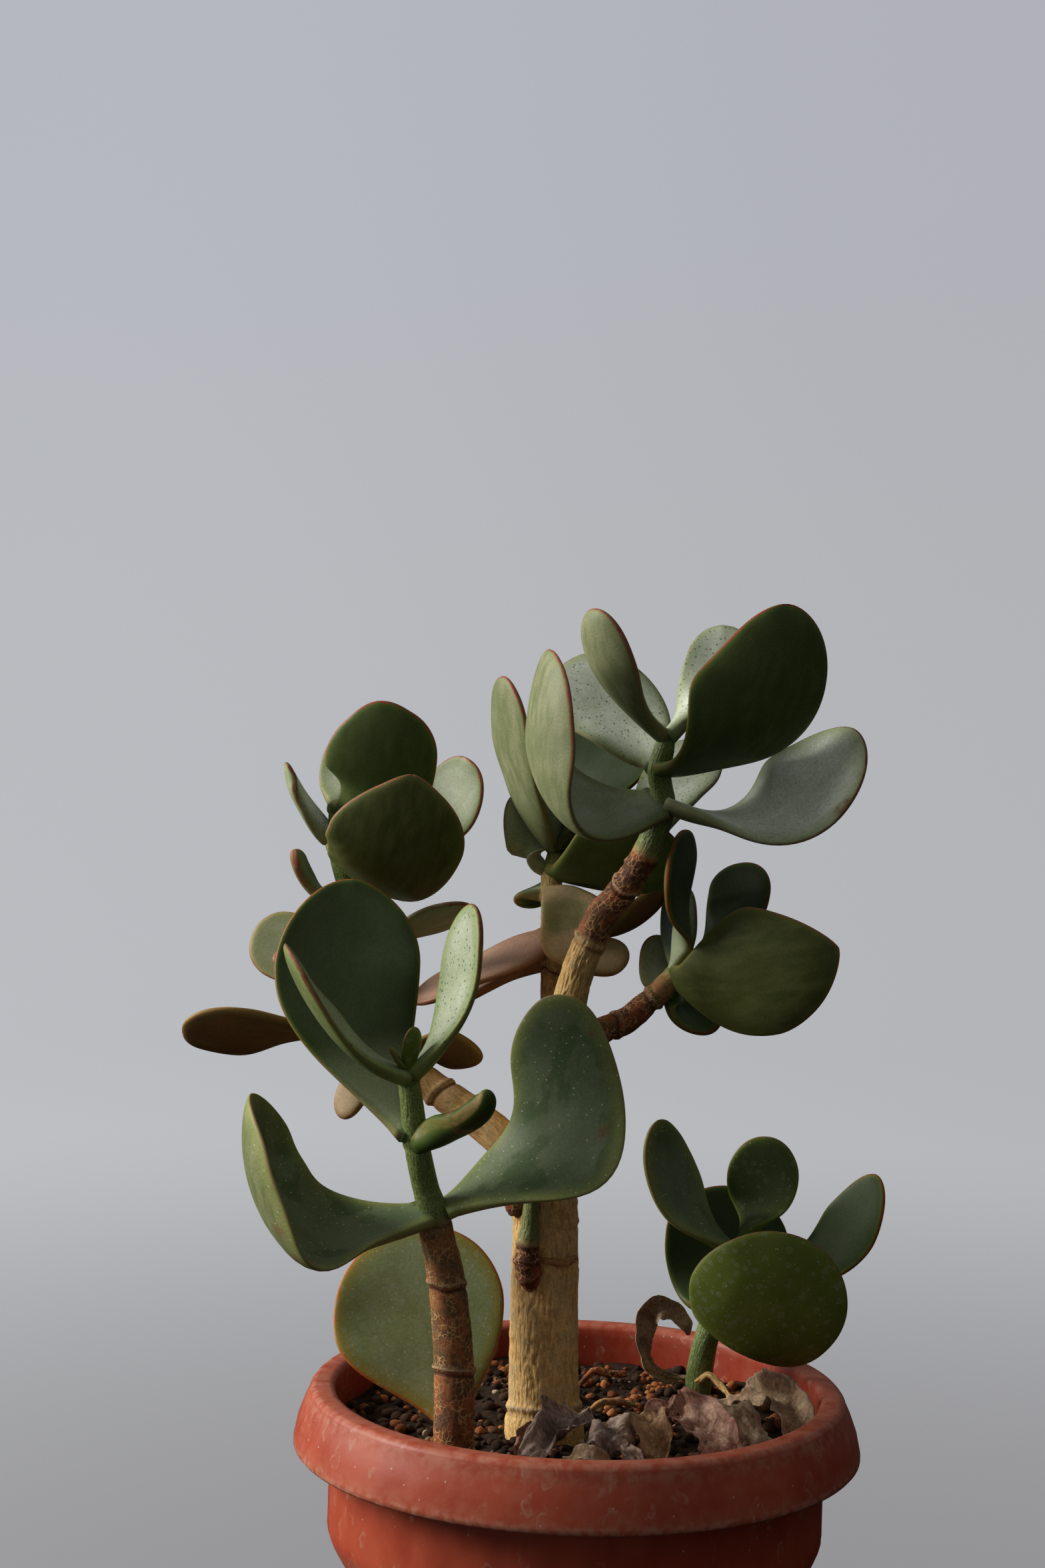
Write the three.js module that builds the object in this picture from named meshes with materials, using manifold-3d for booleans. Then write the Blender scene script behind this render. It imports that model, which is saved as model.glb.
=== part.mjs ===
import * as THREE from 'three';
import { mergeVertices } from 'three/addons/utils/BufferGeometryUtils.js';
import Module from 'manifold-3d';

// A potted silver dollar plant: a woody trunk with four leafy shoots, a front stem and a small offshoot,
// standing in soil in a round plastic pot. Millimetres, +Z up, origin at the middle of the pot's base.

// Driving dimensions
const POT_HEIGHT = 150;
const RIM_RADIUS = 89;
const BASE_RADIUS = 57;
const WALL = 2;
const NECK_RADIUS = 77.7;
const WAIST_RADIUS = 72.2;
const SKIRT_HEIGHT = 18.3;
const SHOULDER_TOP = POT_HEIGHT - 43.5;
const SHOULDER_BASE = POT_HEIGHT - 54;
const ROUND_SIDES = 36;
const DRAIN_HOLES = 8;
const DRAIN_RADIUS = 3.5;
const DRAIN_CIRCLE = 38;
const SOIL_TOP = 137;
const SOIL_RINGS = 7;
const MOUND = { x: 39, y: 32, height: 3.5, spread: 220 };
const GRAIN_COUNT = 60;
const GRAIN_REACH = 70;
const GRAIN_TURN = 2.4;
const GRAIN_RADIUS = 1.9;
const STEM_DEPTH = 34;
const PLANT_LEAN = 1.5;
const GAP = 0.3;
const SOIL_CLEARANCE = 0.75;
const LEAF_THICKNESS = 4;
const LEAF_ROWS = 9;
const LEAF_COLUMNS = 4;
const TIP_ROWS = 5;
const DEAD_THICKNESS = 1.1;
const DEAD_ROWS = 9;

// Colours of the materials
const TERRACOTTA = 0xa4503c;
const SOIL_BROWN = 0x2c211b;
const BARK = 0xb89f74;
const YOUNG_BARK = 0x6e4636;
const STEM_GREEN = 0x5c7f4a;
const LEAF_SILVER = 0x8ea592;
const LEAF_GREEN = 0x567350;
const LEAF_DARK = 0x34502f;
const LEAF_OLIVE = 0x6d7748;
const LEAF_TAN = 0x8a6f4d;
const LEAF_PINK = 0x8d6656;
const DEAD_TAN = 0x9a8068;
const DEAD_GREY = 0x7c6f66;

const wasm = await Module();
wasm.setup();

// Solids and geometries

const vector = ([x, y, z]) => new THREE.Vector3(x, y, z);
const smooth = (value) => THREE.MathUtils.smoothstep(value, 0, 1);

function tidy(geometry) {
  const bare = geometry.index ? geometry.clone() : geometry;
  bare.deleteAttribute('normal');
  bare.deleteAttribute('uv');
  const merged = mergeVertices(bare, 1e-4);
  const kept = [];
  const index = merged.index.array;
  for (let i = 0; i < index.length; i += 3) {
    const [a, b, c] = [index[i], index[i + 1], index[i + 2]];
    if (a !== b && b !== c && c !== a) kept.push(a, b, c);
  }
  merged.setIndex(kept);
  return merged;
}

function toSolid(geometry) {
  const merged = tidy(geometry);
  const mesh = new wasm.Mesh({
    numProp: 3,
    vertProperties: new Float32Array(merged.attributes.position.array),
    triVerts: new Uint32Array(merged.index.array),
  });
  mesh.merge();
  return new wasm.Manifold(mesh);
}

function toGeometry(solid) {
  const mesh = solid.getMesh();
  const geometry = new THREE.BufferGeometry();
  geometry.setAttribute('position', new THREE.BufferAttribute(new Float32Array(mesh.vertProperties), 3));
  geometry.setIndex(Array.from(mesh.triVerts));
  return geometry;
}

function finished(geometry, colour, roughness) {
  const plain = geometry.toNonIndexed();
  plain.computeVertexNormals();
  return new THREE.Mesh(plain, new THREE.MeshStandardMaterial({ color: colour, roughness, metalness: 0 }));
}

const group = new THREE.Group();

function addPiece(name, geometry, colour, roughness = 0.6) {
  const mesh = finished(geometry, colour, roughness);
  mesh.name = name;
  group.add(mesh);
}

// Pot: one moulded shell with a hollow skirt under its rim

function potProfile() {
  const lip = POT_HEIGHT - SKIRT_HEIGHT;
  return [
    [0, 0],
    [BASE_RADIUS - 1.2, 0],
    [BASE_RADIUS, 1.2],
    [WAIST_RADIUS, SHOULDER_BASE],
    [WAIST_RADIUS + 1.9, SHOULDER_BASE + 2.6],
    [NECK_RADIUS - 1.4, SHOULDER_TOP - 3.9],
    [NECK_RADIUS, SHOULDER_TOP],
    [NECK_RADIUS, POT_HEIGHT - 3],
    [NECK_RADIUS + 3, POT_HEIGHT - 3],
    [RIM_RADIUS - 2.6, lip + 0.4],
    [RIM_RADIUS - 2, lip],
    [RIM_RADIUS, lip + 0.8],
    [RIM_RADIUS, lip + 2.4],
    [RIM_RADIUS - 1.1, lip + 7.4],
    [RIM_RADIUS - 2.9, lip + 12.4],
    [RIM_RADIUS - 5, POT_HEIGHT - 1.4],
    [RIM_RADIUS - 6, POT_HEIGHT],
    [NECK_RADIUS + 0.5, POT_HEIGHT],
    [NECK_RADIUS - WALL + 0.3, POT_HEIGHT - 1.8],
    ...soilSide(0).reverse(),
    [0, WALL + 0.5],
  ];
}

// Inner wall of the pot, from the floor up to the neck, pulled in by a clearance
function soilSide(clearance) {
  const points = [
    [BASE_RADIUS - 3, WALL + 0.5],
    [BASE_RADIUS - 1.8, WALL + 1.5],
    [WAIST_RADIUS - WALL, SHOULDER_BASE - 2],
    [WAIST_RADIUS - 0.3, SHOULDER_BASE + 3],
    [NECK_RADIUS - 3.4, SHOULDER_BASE + 7],
    [NECK_RADIUS - WALL + 0.3, SHOULDER_TOP + 1.5],
  ];
  return points.map(([radius, z]) => [radius - clearance, z + clearance]);
}

function lathe(profile) {
  return new THREE.LatheGeometry(profile.map(([radius, z]) => new THREE.Vector2(radius, z)), ROUND_SIDES)
    .rotateX(Math.PI / 2);
}

function buildPot() {
  let shell = toSolid(lathe(potProfile()));
  for (let i = 0; i < DRAIN_HOLES; i += 1) {
    const turn = (2 * Math.PI * (i + 0.5)) / DRAIN_HOLES;
    const hole = new THREE.CylinderGeometry(DRAIN_RADIUS, DRAIN_RADIUS, 3 * WALL, 12);
    hole.rotateX(Math.PI / 2);
    hole.translate(DRAIN_CIRCLE * Math.cos(turn), DRAIN_CIRCLE * Math.sin(turn), WALL / 2);
    shell = shell.subtract(toSolid(hole));
  }
  return toGeometry(shell);
}

// Soil: fills the pot, with a lumpy top and grains half sunk in it

function soilHeight(x, y) {
  const mound = MOUND.height * Math.exp(-((x - MOUND.x) ** 2 + (y - MOUND.y) ** 2) / MOUND.spread);
  return SOIL_TOP + mound
    + 0.8 * Math.sin(0.11 * x + 0.6) * Math.cos(0.13 * y)
    + 0.6 * Math.sin(0.23 * y - 0.17 * x)
    + 0.4 * Math.cos(0.31 * x + 0.9);
}

// Grains lie on the open soil: a spiral of places, without those under stems and dead leaves
function grainPlaces() {
  const places = [];
  for (let i = 0; i < GRAIN_COUNT; i += 1) {
    const turn = i * GRAIN_TURN;
    const reach = GRAIN_REACH * Math.sqrt((i + 0.5) / GRAIN_COUNT);
    const x = reach * Math.cos(turn);
    const y = reach * Math.sin(turn);
    const underDeadLeaves = x > -26 && y < -18;
    const underRightLeaf = x > 12 && Math.abs(y - 6) < 32;
    const nearTrunk = Math.hypot(x - TRUNK[0][0], y - TRUNK[0][1]) < 17;
    const nearFrontStem = Math.hypot(x - FRONT_STEM[0][0], y - FRONT_STEM[0][1]) < 13;
    if (!underDeadLeaves && !underRightLeaf && !nearTrunk && !nearFrontStem) places.push([x, y, i]);
  }
  return places;
}

function buildSoil(stems) {
  const rim = NECK_RADIUS - WALL;
  const side = soilSide(GAP);
  const top = [];
  for (let i = 0; i <= SOIL_RINGS; i += 1) top.push([rim * (1 - i / SOIL_RINGS), SOIL_TOP]);
  const geometry = lathe([[0, side[0][1]], ...side, ...top]);
  const position = geometry.attributes.position;
  for (let i = 0; i < position.count; i += 1) {
    if (position.getZ(i) > SOIL_TOP - 1) {
      position.setZ(i, soilHeight(position.getX(i), position.getY(i)));
    }
  }
  let soil = toSolid(geometry);
  for (const [x, y, i] of grainPlaces()) {
    const grain = new THREE.IcosahedronGeometry(GRAIN_RADIUS + 0.3 * (i % 5));
    grain.rotateX(i).rotateZ(2 * i);
    grain.translate(x, y, soilHeight(x, y) + 0.3);
    soil = soil.add(toSolid(grain));
  }
  for (const stem of stems) {
    soil = soil.subtract(toSolid(leaned(tube(stem, 12, GAP))));
  }
  return toGeometry(soil);
}

// The plant leans a little to the left in its pot, about the middle of the soil's top
function leaned(geometry) {
  return geometry
    .translate(0, 0, -SOIL_TOP)
    .rotateY(THREE.MathUtils.degToRad(-PLANT_LEAN))
    .translate(0, 0, SOIL_TOP);
}

// Stems: tapered tubes along curves through [x, y, z, radius]

function tube(points, sides, clearance = 0) {
  const curve = new THREE.CatmullRomCurve3(points.map(vector), false, 'centripetal');
  const steps = 2 * (points.length - 1);
  const geometry = new THREE.CylinderGeometry(1, 1, 1, sides, steps);
  const position = geometry.attributes.position;
  const away = new THREE.Vector3(0, 1, 0);
  for (let i = 0; i < position.count; i += 1) {
    const along = 0.5 - position.getY(i);
    const cell = Math.min(Math.floor(along * (points.length - 1)), points.length - 2);
    const part = along * (points.length - 1) - cell;
    const radius = points[cell][3] * (1 - part) + points[cell + 1][3] * part + clearance;
    const tangent = curve.getTangent(along);
    const side = new THREE.Vector3().crossVectors(away, tangent).normalize();
    const front = new THREE.Vector3().crossVectors(tangent, side);
    const spot = curve.getPoint(along)
      .addScaledVector(side, radius * position.getX(i))
      .addScaledVector(front, radius * position.getZ(i));
    if (along < 1e-6) spot.addScaledVector(tangent, -clearance);
    position.setXYZ(i, spot.x, spot.y, spot.z);
  }
  return geometry;
}

const STEM_FOOT = SOIL_TOP - STEM_DEPTH;
const TRUNK = [
  [-10, -15, STEM_FOOT, 9], [-10, -15, SOIL_TOP - 6, 12.5], [-10.3, -15, 143, 12], [-10.3, -15, 150, 10.8],
  [-10.3, -15, 170, 10.5], [-10, -15, 190, 10.3], [-9.8, -15, 205, 9.9], [-9.6, -15, 216, 9.5],
  [-8.6, -15, 231, 8.6], [-5.8, -16, 252, 6.6], [-2.3, -18, 273, 5.2], [0.5, -19, 283, 4.9],
  [4, -20, 292, 4.9], [7, -21, 298.5, 4.9], [13.9, -22, 307, 4.6], [20.1, -24, 317, 4.4],
  [24, -25.4, 326, 4], [25.9, -26, 333.5, 3.8], [25.3, -26, 338.6, 3.5], [24.6, -27, 343.7, 3.6],
  [26, -28, 349.7, 3.2], [27, -28, 354, 2.6],
];
const LEFT_LIMB = [
  [-9, -14, 212, 7], [-16, -12, 222, 6.3], [-24, -9, 229.3, 5.9], [-34.5, -4, 236.9, 5.5],
  [-45.2, 0, 243.7, 5], [-53.8, 4, 251.6, 4.5], [-61.5, 8, 260.7, 4.3], [-65.2, 10, 274.4, 3.8],
  [-68.2, 11, 289.3, 3.6], [-72.4, 12, 304.2, 3.4], [-76.1, 12, 318.2, 3.2], [-76.8, 13, 332, 2.6],
];
const RIGHT_LIMB = [
  [-5, -17, 253, 4.4], [1.2, -16, 259, 4.6], [8.2, -12, 263, 4.1], [15.6, -8, 265.6, 4.1],
  [22, -5, 270.5, 3.8], [28.4, -3, 276, 3.8], [31.5, -2, 280, 3.3], [34.9, -1, 285, 2.6],
];
const MIDDLE_LIMB = [
  [-9.4, -14, 218, 6], [-8, -2, 240, 4.8], [-7.1, 7, 259.6, 4.1], [-7.2, 13, 274.1, 3.8],
  [-7, 16, 286.8, 3.7], [-7.4, 18, 301.8, 3.5], [-7.4, 20, 310.3, 3.3], [-5.8, 22, 318, 2.6],
];
const FRONT_STEM = [
  [-37.3, -48, STEM_FOOT, 5], [-37.3, -48, SOIL_TOP - 4, 6.2], [-37.2, -48, 145.3, 6.1],
  [-36.9, -48, 158.1, 6.1], [-37.3, -48, 171.8, 5.9], [-38.9, -48, 190.5, 5.5], [-42, -49, 207.3, 5.1],
  [-43, -50, 213.4, 4.6], [-45.1, -50, 220.3, 3.9], [-47, -51, 229.2, 3.8], [-48.2, -51, 235.5, 3.8],
  [-49.3, -52, 246, 3.4], [-50.2, -52, 253.4, 3.2], [-50.4, -52, 257, 2.2],
];
const OFFSHOOT_STEM = [
  [40.5, 31, STEM_FOOT, 3.6], [40.8, 31, SOIL_TOP, 4.5], [42.1, 31, 148, 4.3], [44.3, 31, 157.9, 4],
  [47.3, 32, 166.5, 3.6], [51, 32, 176.4, 3.1], [54.2, 33, 183.9, 2.9], [55.6, 33, 187.9, 2.2],
];

// Blades: closed sheets whose two faces are split alike, placed by a function of
// across (-1 to 1), along (0 to 1) and side (1 for the upper face, -1 for the lower)

function blade(columns, rows, place) {
  const vertices = [];
  const faces = [];
  const at = (side, row, column) => (side * (rows + 1) + row) * (columns + 1) + column;
  for (const side of [1, -1]) {
    for (let row = 0; row <= rows; row += 1) {
      for (let column = 0; column <= columns; column += 1) {
        const across = Math.sin((Math.PI / 2) * ((2 * column) / columns - 1));
        vertices.push(...place(across, row / rows, side).toArray());
      }
    }
  }
  const quad = (a, b, c, d) => faces.push(a, b, c, a, c, d);
  for (let row = 0; row < rows; row += 1) {
    for (let column = 0; column < columns; column += 1) {
      quad(at(0, row, column), at(0, row, column + 1), at(0, row + 1, column + 1), at(0, row + 1, column));
      faces.push(at(1, row, column), at(1, row + 1, column + 1), at(1, row, column + 1));
      faces.push(at(1, row, column), at(1, row + 1, column), at(1, row + 1, column + 1));
    }
    quad(at(0, row, 0), at(0, row + 1, 0), at(1, row + 1, 0), at(1, row, 0));
    quad(at(0, row, columns), at(1, row, columns), at(1, row + 1, columns), at(0, row + 1, columns));
  }
  for (let column = 0; column < columns; column += 1) {
    quad(at(0, 0, column), at(1, 0, column), at(1, 0, column + 1), at(0, 0, column + 1));
    quad(at(0, rows, column), at(0, rows, column + 1), at(1, rows, column + 1), at(1, rows, column));
  }
  const geometry = new THREE.BufferGeometry();
  geometry.setAttribute('position', new THREE.Float32BufferAttribute(vertices, 3));
  geometry.setIndex(faces);
  return tidy(geometry);
}

// A leaf leaves its stem towards the elbow and curves to the tip, both given from its node.
// base and face are the ways its upper side looks, at the stalk and in the blade.
// swell is the share by which the outline is fuller on one side, round the place swellAt.
const SWELL_REACH = 0.25;
const LEAF_DEFAULTS = {
  base: [0, 0, 1],
  neck: 0.3,
  waist: 1.2,
  widest: 0.62,
  point: 2.2,
  blunt: 0.5,
  swell: 0,
  swellAt: 0.45,
  cup: 0.12,
  thick: LEAF_THICKNESS,
  roll: 0.7,
};

function leafPlacer(node, options) {
  const leaf = { ...LEAF_DEFAULTS, ...options };
  const centre = vector(node.at);
  const out = vector(leaf.elbow).normalize();
  const start = centre.clone().addScaledVector(out, node.radius + GAP + 0.1);
  const spine = new THREE.QuadraticBezierCurve3(
    start, centre.clone().add(vector(leaf.elbow)), centre.clone().add(vector(leaf.tip)),
  );
  const from = vector(leaf.base).normalize();
  const to = vector(leaf.face).normalize();
  return (across, v, side) => {
    const along = 1 - (1 - v) ** 1.5;
    const body = Math.min(along / leaf.widest, 1);
    const end = Math.max((along - leaf.widest) / (1 - leaf.widest), 0);
    const fill = leaf.neck + (1 - leaf.neck) * (1 - (1 - body) ** 2) ** leaf.waist;
    const fuller = leaf.swell * Math.exp(-(((along - leaf.swellAt) / SWELL_REACH) ** 2));
    const halfWidth = (leaf.width / 2) * fill * Math.max(1 - end ** leaf.point, 0) ** leaf.blunt
      * (1 + fuller * Math.sign(across));
    const tangent = spine.getTangentAt(along);
    const facing = from.clone().lerp(to, smooth(along / leaf.roll));
    const normal = facing.addScaledVector(tangent, -facing.dot(tangent)).normalize();
    const sideways = new THREE.Vector3().crossVectors(tangent, normal);
    const depth = (leaf.thick / 2) * (1.25 - 0.25 * smooth(along / 0.4))
      * Math.sqrt(Math.max(1 - end ** 4, 0)) * Math.max(1 - across * across, 0) ** 0.35;
    const x = across * halfWidth;
    return spine.getPointAt(along)
      .addScaledVector(sideways, x)
      .addScaledVector(normal, (2 * leaf.cup * x * x) / leaf.width + side * depth);
  };
}

const node = (at, radius) => ({ at, radius });
const FRONT_LOW = node([-42.7, -50, 213.4], 4.8);
const FRONT_MIDDLE = node([-48.2, -51, 235.5], 3.9);
const FRONT_TOP = node([-50.2, -52, 253.4], 3.3);
const FRONT_FOOT = node([-37.6, -46.4, 142], 5.2);
const LEFT_FIRST = node([-61.5, 8, 260.7], 4.4);
const LEFT_SECOND = node([-68.2, 11, 289.3], 3.7);
const LEFT_THIRD = node([-72.4, 12, 304.2], 3.5);
const LEFT_FOURTH = node([-76.1, 12, 318.2], 3.3);
const LEFT_FIFTH = node([-76.5, 12.5, 325], 3.1);
const LEFT_TOP = node([-76.8, 13, 331], 2.7);
const TOP_FIRST = node([22.9, -25, 323], 4.2);
const TOP_SECOND = node([25.9, -26, 333.5], 3.9);
const TOP_THIRD = node([24.6, -27, 343.7], 3.7);
const TOP_FOURTH = node([27, -28, 353], 2.8);
const MIDDLE_FOOT = node([-7.1, 15, 282], 3.8);
const MIDDLE_FIRST = node([-7, 16, 290], 3.8);
const MIDDLE_SECOND = node([-7.4, 18, 301.8], 3.6);
const MIDDLE_THIRD = node([-7.4, 20, 311], 3.4);
const MIDDLE_TOP = node([-6, 22, 317.5], 2.8);
const RIGHT_FIRST = node([30.5, -2.3, 278.5], 3.6);
const RIGHT_TOP = node([33.8, -1.3, 283.4], 1.8);
const OFFSHOOT_LOW = node([47.3, 32, 166.5], 3.7);
const OFFSHOOT_MIDDLE = node([54, 33, 183.4], 3);
const OFFSHOOT_TOP = node([55.3, 33, 186.8], 1);

const LEAVES = [
  ['leaf_front_low_left', FRONT_LOW, LEAF_SILVER,
    { elbow: [-56.4, -20.3, -13.5], tip: [-50.9, -26.5, 38.4], width: 49.2, waist: 0.97, widest: 0.63,
      point: 2.58, blunt: 0.53, swell: -0.2, swellAt: 0.43, cup: 0.38, base: [-0.05, -0.17, 0.98],
      face: [0.96, 0.1, -0.27] }],
  ['leaf_front_low_right', FRONT_LOW, LEAF_SILVER,
    { elbow: [42.6, 15.2, 16.6], tip: [36.3, 7.2, 63.7], width: 40.1, neck: 0.26, waist: 1.11,
      widest: 0.42, point: 1.94, blunt: 0.45, swell: 0.49, swellAt: 0.42, cup: 0.06, roll: 0.8,
      base: [-0.07, -0.14, 0.99], face: [-0.34, -0.94, 0.05] }],
  ['leaf_front_back', FRONT_MIDDLE, LEAF_GREEN,
    { elbow: [-23.7, 18.5, 22.5], tip: [-20.7, 30.6, 75], width: 43.9, neck: 0.22, waist: 1.68,
      widest: 0.66, point: 1.89, blunt: 0.57, swell: -0.09, swellAt: 0.52, cup: 0.13,
      base: [0.53, -0.53, 0.65], face: [0.13, -0.96, 0.25] }],
  ['leaf_front_small', FRONT_MIDDLE, LEAF_GREEN,
    { elbow: [23.8, -26, 11], tip: [20, -26, 17.9], width: 11.8, neck: 0.46, waist: 1.43, widest: 0.56,
      point: 2.51, blunt: 0.53, swell: 0.02, swellAt: 0.49, cup: 0.28, thick: 8, base: [0.46, 0.13, 0.88],
      face: [-0.67, 0.27, 0.69] }],
  ['leaf_front_top_left', FRONT_TOP, LEAF_SILVER,
    { elbow: [-23.4, -10.4, 9.4], tip: [-35.1, -10.3, 40.2], width: 24.4, neck: 0.37, waist: 1.27,
      widest: 0.59, point: 2.15, blunt: 0.54, swell: 0.06, swellAt: 0.39, cup: 0.18,
      base: [0.31, -0.11, 0.94], face: [0.95, 0.1, 0.3] }],
  ['leaf_front_top_right', FRONT_TOP, LEAF_SILVER,
    { elbow: [17, 1, 16], tip: [18.2, 6, 50.8], width: 20.7, neck: 0.31, waist: 0.71, widest: 0.63,
      point: 2.08, blunt: 0.53, swell: 0.06, cup: 0.14, base: [-0.26, -0.08, 0.96],
      face: [-0.83, -0.56, 0.01] }],
  ['leaf_front_round', FRONT_FOOT, LEAF_OLIVE,
    { elbow: [-2, 11.3, 20], tip: [-19.3, 28.7, 60], width: 52.3, neck: 0.1, waist: 1.63, widest: 0.57,
      point: 2.11, blunt: 0.54, swell: -0.05, swellAt: 0.43, cup: 0.13, base: [0.06, -0.87, 0.49],
      face: [0.04, -0.92, 0.4] }],
  ['leaf_left_top', LEFT_TOP, LEAF_DARK,
    { elbow: [20.5, -26, -5], tip: [15.2, -29.8, 33.2], width: 35, neck: 0.18, waist: 0.99, widest: 0.63,
      point: 2.76, blunt: 0.63, swell: 0.07, swellAt: 0.46, cup: 0.11, base: [0.37, 0.79, 0.49],
      face: [0.09, 0.97, 0.23] }],
  ['leaf_left_front', LEFT_FOURTH, LEAF_OLIVE,
    { elbow: [18.7, -33.5, -23.3], tip: [25.6, -35.9, 23.8], width: 42.5, neck: 0.25, waist: 0.96,
      widest: 0.65, point: 1.86, blunt: 0.73, swell: 0.08, swellAt: 0.37, cup: 0.16,
      base: [0.12, 0.48, 0.87], face: [-0.07, 0.93, 0.37] }],
  ['leaf_left_silver', LEFT_FIFTH, LEAF_SILVER,
    { elbow: [40, 18, -4], tip: [40.2, 11.9, 23.7], width: 29.9, neck: 0.2, waist: 1.11, widest: 0.64,
      point: 2.16, blunt: 0.53, swell: 0.15, swellAt: 0.49, cup: 0.1, base: [-0.13, -0.02, 0.99],
      face: [-0.69, -0.7, 0.18] }],
  ['leaf_left_narrow', LEFT_FOURTH, LEAF_GREEN,
    { elbow: [-17.3, -2.4, 21.8], tip: [-14.4, -9.2, 26.2], width: 13.9, neck: 0.16, waist: 0.44,
      widest: 0.55, point: 2.94, blunt: 0.45, swell: -0.07, swellAt: 0.47, cup: 0.06,
      base: [0.54, -0.43, 0.73], face: [0.78, -0.18, 0.6] }],
  ['leaf_left_back', LEFT_TOP, LEAF_GREEN,
    { elbow: [0, 15, 9], tip: [6, 21, 26], width: 18, face: [-0.2, -0.9, 0.2] }],
  ['leaf_left_sliver', LEFT_THIRD, LEAF_GREEN,
    { elbow: [-14.8, 6.3, -3.5], tip: [-17.8, -3, 14.3], width: 8.3, neck: 0.32, waist: 1.14, widest: 0.8,
      point: 1.41, blunt: 0.6, swell: 0.27, swellAt: 0.43, cup: 0.15, base: [-0.32, -0.03, 0.95],
      face: [0.76, -0.41, 0.5] }],
  ['leaf_left_inner', LEFT_SECOND, LEAF_DARK,
    { elbow: [9, -5.4, 0.2], tip: [36.1, -4.2, 10.5], width: 19.3, neck: 0.2, waist: 0.95, widest: 0.49,
      point: 2.32, blunt: 0.45, swell: 0.06, swellAt: 0.38, cup: 0.18, base: [-0.42, 0.08, 0.9],
      face: [-0.02, 0.48, 0.88] }],
  ['leaf_left_round', LEFT_SECOND, LEAF_SILVER,
    { elbow: [-18.9, 16.6, -5], tip: [-38.2, 16, -1], width: 24.3, neck: 0.24, waist: 1.03, widest: 0.66,
      point: 2.02, blunt: 0.45, swell: -0.17, swellAt: 0.44, cup: 0.09, base: [-0.23, -0.05, 0.97],
      face: [0.41, -0.87, 0.29] }],
  ['leaf_left_small', LEFT_SECOND, LEAF_PINK,
    { elbow: [-18, -11, -8], tip: [-27, -15, -4], width: 11, face: [0.3, -0.6, 0.6] }],
  ['leaf_left_brown', LEFT_FIRST, LEAF_TAN,
    { elbow: [-42.2, -17.5, 0.8], tip: [-61.7, -17.1, 1.4], width: 26.2, neck: 0.31, waist: 1.22,
      widest: 0.71, point: 2.13, blunt: 0.45, swell: 0.15, swellAt: 0.52, cup: 0.09,
      base: [0.15, 0.03, 0.99], face: [0.16, 0.66, 0.73] }],
  ['leaf_left_hanging', LEFT_FIRST, LEAF_TAN,
    { elbow: [-5, 5, -10], tip: [-13, -2, -28], width: 12, face: [-0.5, -0.8, 0.3] }],
  ['leaf_left_dark', LEFT_FIRST, LEAF_TAN,
    { elbow: [12.6, -4.4, -6.2], tip: [32.1, -5.1, -7.8], width: 19.5, neck: 0.31, widest: 0.6,
      point: 1.61, blunt: 0.56, swell: 0.08, swellAt: 0.4, cup: 0.13, face: [-0.04, 0.71, 0.71] }],
  ['leaf_top_large', TOP_THIRD, LEAF_DARK,
    { elbow: [33, -23.3, 2.2], tip: [36.8, -20.5, 48.8], width: 40, neck: 0.26, waist: 1.12, widest: 0.52,
      point: 1.93, blunt: 0.54, swell: 0.15, cup: 0.16, base: [0.04, -0.01, 1],
      face: [-0.19, 0.92, 0.34] }],
  ['leaf_top_spotted', TOP_FOURTH, LEAF_SILVER,
    { elbow: [18.5, 6.1, 20.4], tip: [18.2, 17.3, 36], width: 19.5, neck: 0.35, waist: 1.11, point: 2.12,
      blunt: 0.47, swell: 0.03, swellAt: 0.5, cup: 0.09, base: [-0.12, 0.03, 0.99],
      face: [-0.05, -0.91, 0.42] }],
  ['leaf_top_left', TOP_FOURTH, LEAF_GREEN,
    { elbow: [-22.7, -12.8, 18], tip: [-22, -15.3, 38.6], width: 20.6, neck: 0.22, waist: 1.76,
      widest: 0.68, point: 2.06, blunt: 0.46, swell: -0.07, swellAt: 0.51, cup: 0.19,
      base: [0.16, 0.03, 0.99], face: [0.78, 0.56, 0.27] }],
  ['leaf_top_silver', TOP_THIRD, LEAF_SILVER,
    { elbow: [-7.7, 14.1, 14.1], tip: [-28.8, 22.4, 33.5], width: 31.5, neck: 0.21, waist: 0.85,
      widest: 0.57, point: 2.42, blunt: 0.55, swell: 0.05, swellAt: 0.34, cup: 0.11,
      base: [-0.39, -0.08, 0.92], face: [0.35, -0.93, 0.13] }],
  ['leaf_top_low_right', TOP_SECOND, LEAF_SILVER,
    { elbow: [37.6, -12.2, -15.3], tip: [56, -12.9, 22.7], width: 33.8, neck: 0.31, waist: 1.01,
      widest: 0.57, point: 2.22, blunt: 0.56, swell: -0.05, swellAt: 0.39, cup: 0.14,
      base: [0.26, 0.04, 0.97], face: [-0.55, -0.73, 0.4] }],
  ['leaf_top_low_left', TOP_SECOND, LEAF_SILVER,
    { elbow: [-50.9, -19.9, -16.5], tip: [-35, -21, 45.8], width: 43.5, neck: 0.29, waist: 1,
      widest: 0.63, point: 2.23, blunt: 0.47, swell: 0.11, swellAt: 0.29, cup: 0.3,
      base: [0.52, -0.33, 0.79], face: [0.94, 0.25, -0.25] }],
  ['leaf_top_back', TOP_FIRST, LEAF_SILVER,
    { elbow: [3, 24, 10], tip: [20, 46, 30], width: 24, face: [-0.3, -0.9, 0.2] }],
  ['leaf_middle_tall', MIDDLE_TOP, LEAF_SILVER,
    { elbow: [-14.2, -18.9, 19.6], tip: [-17.6, -20.8, 56.2], width: 26.4, neck: 0.17, waist: 1.24,
      widest: 0.6, point: 2.31, swell: 0.1, cup: 0.07, base: [0.19, -0.06, 0.98],
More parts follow.
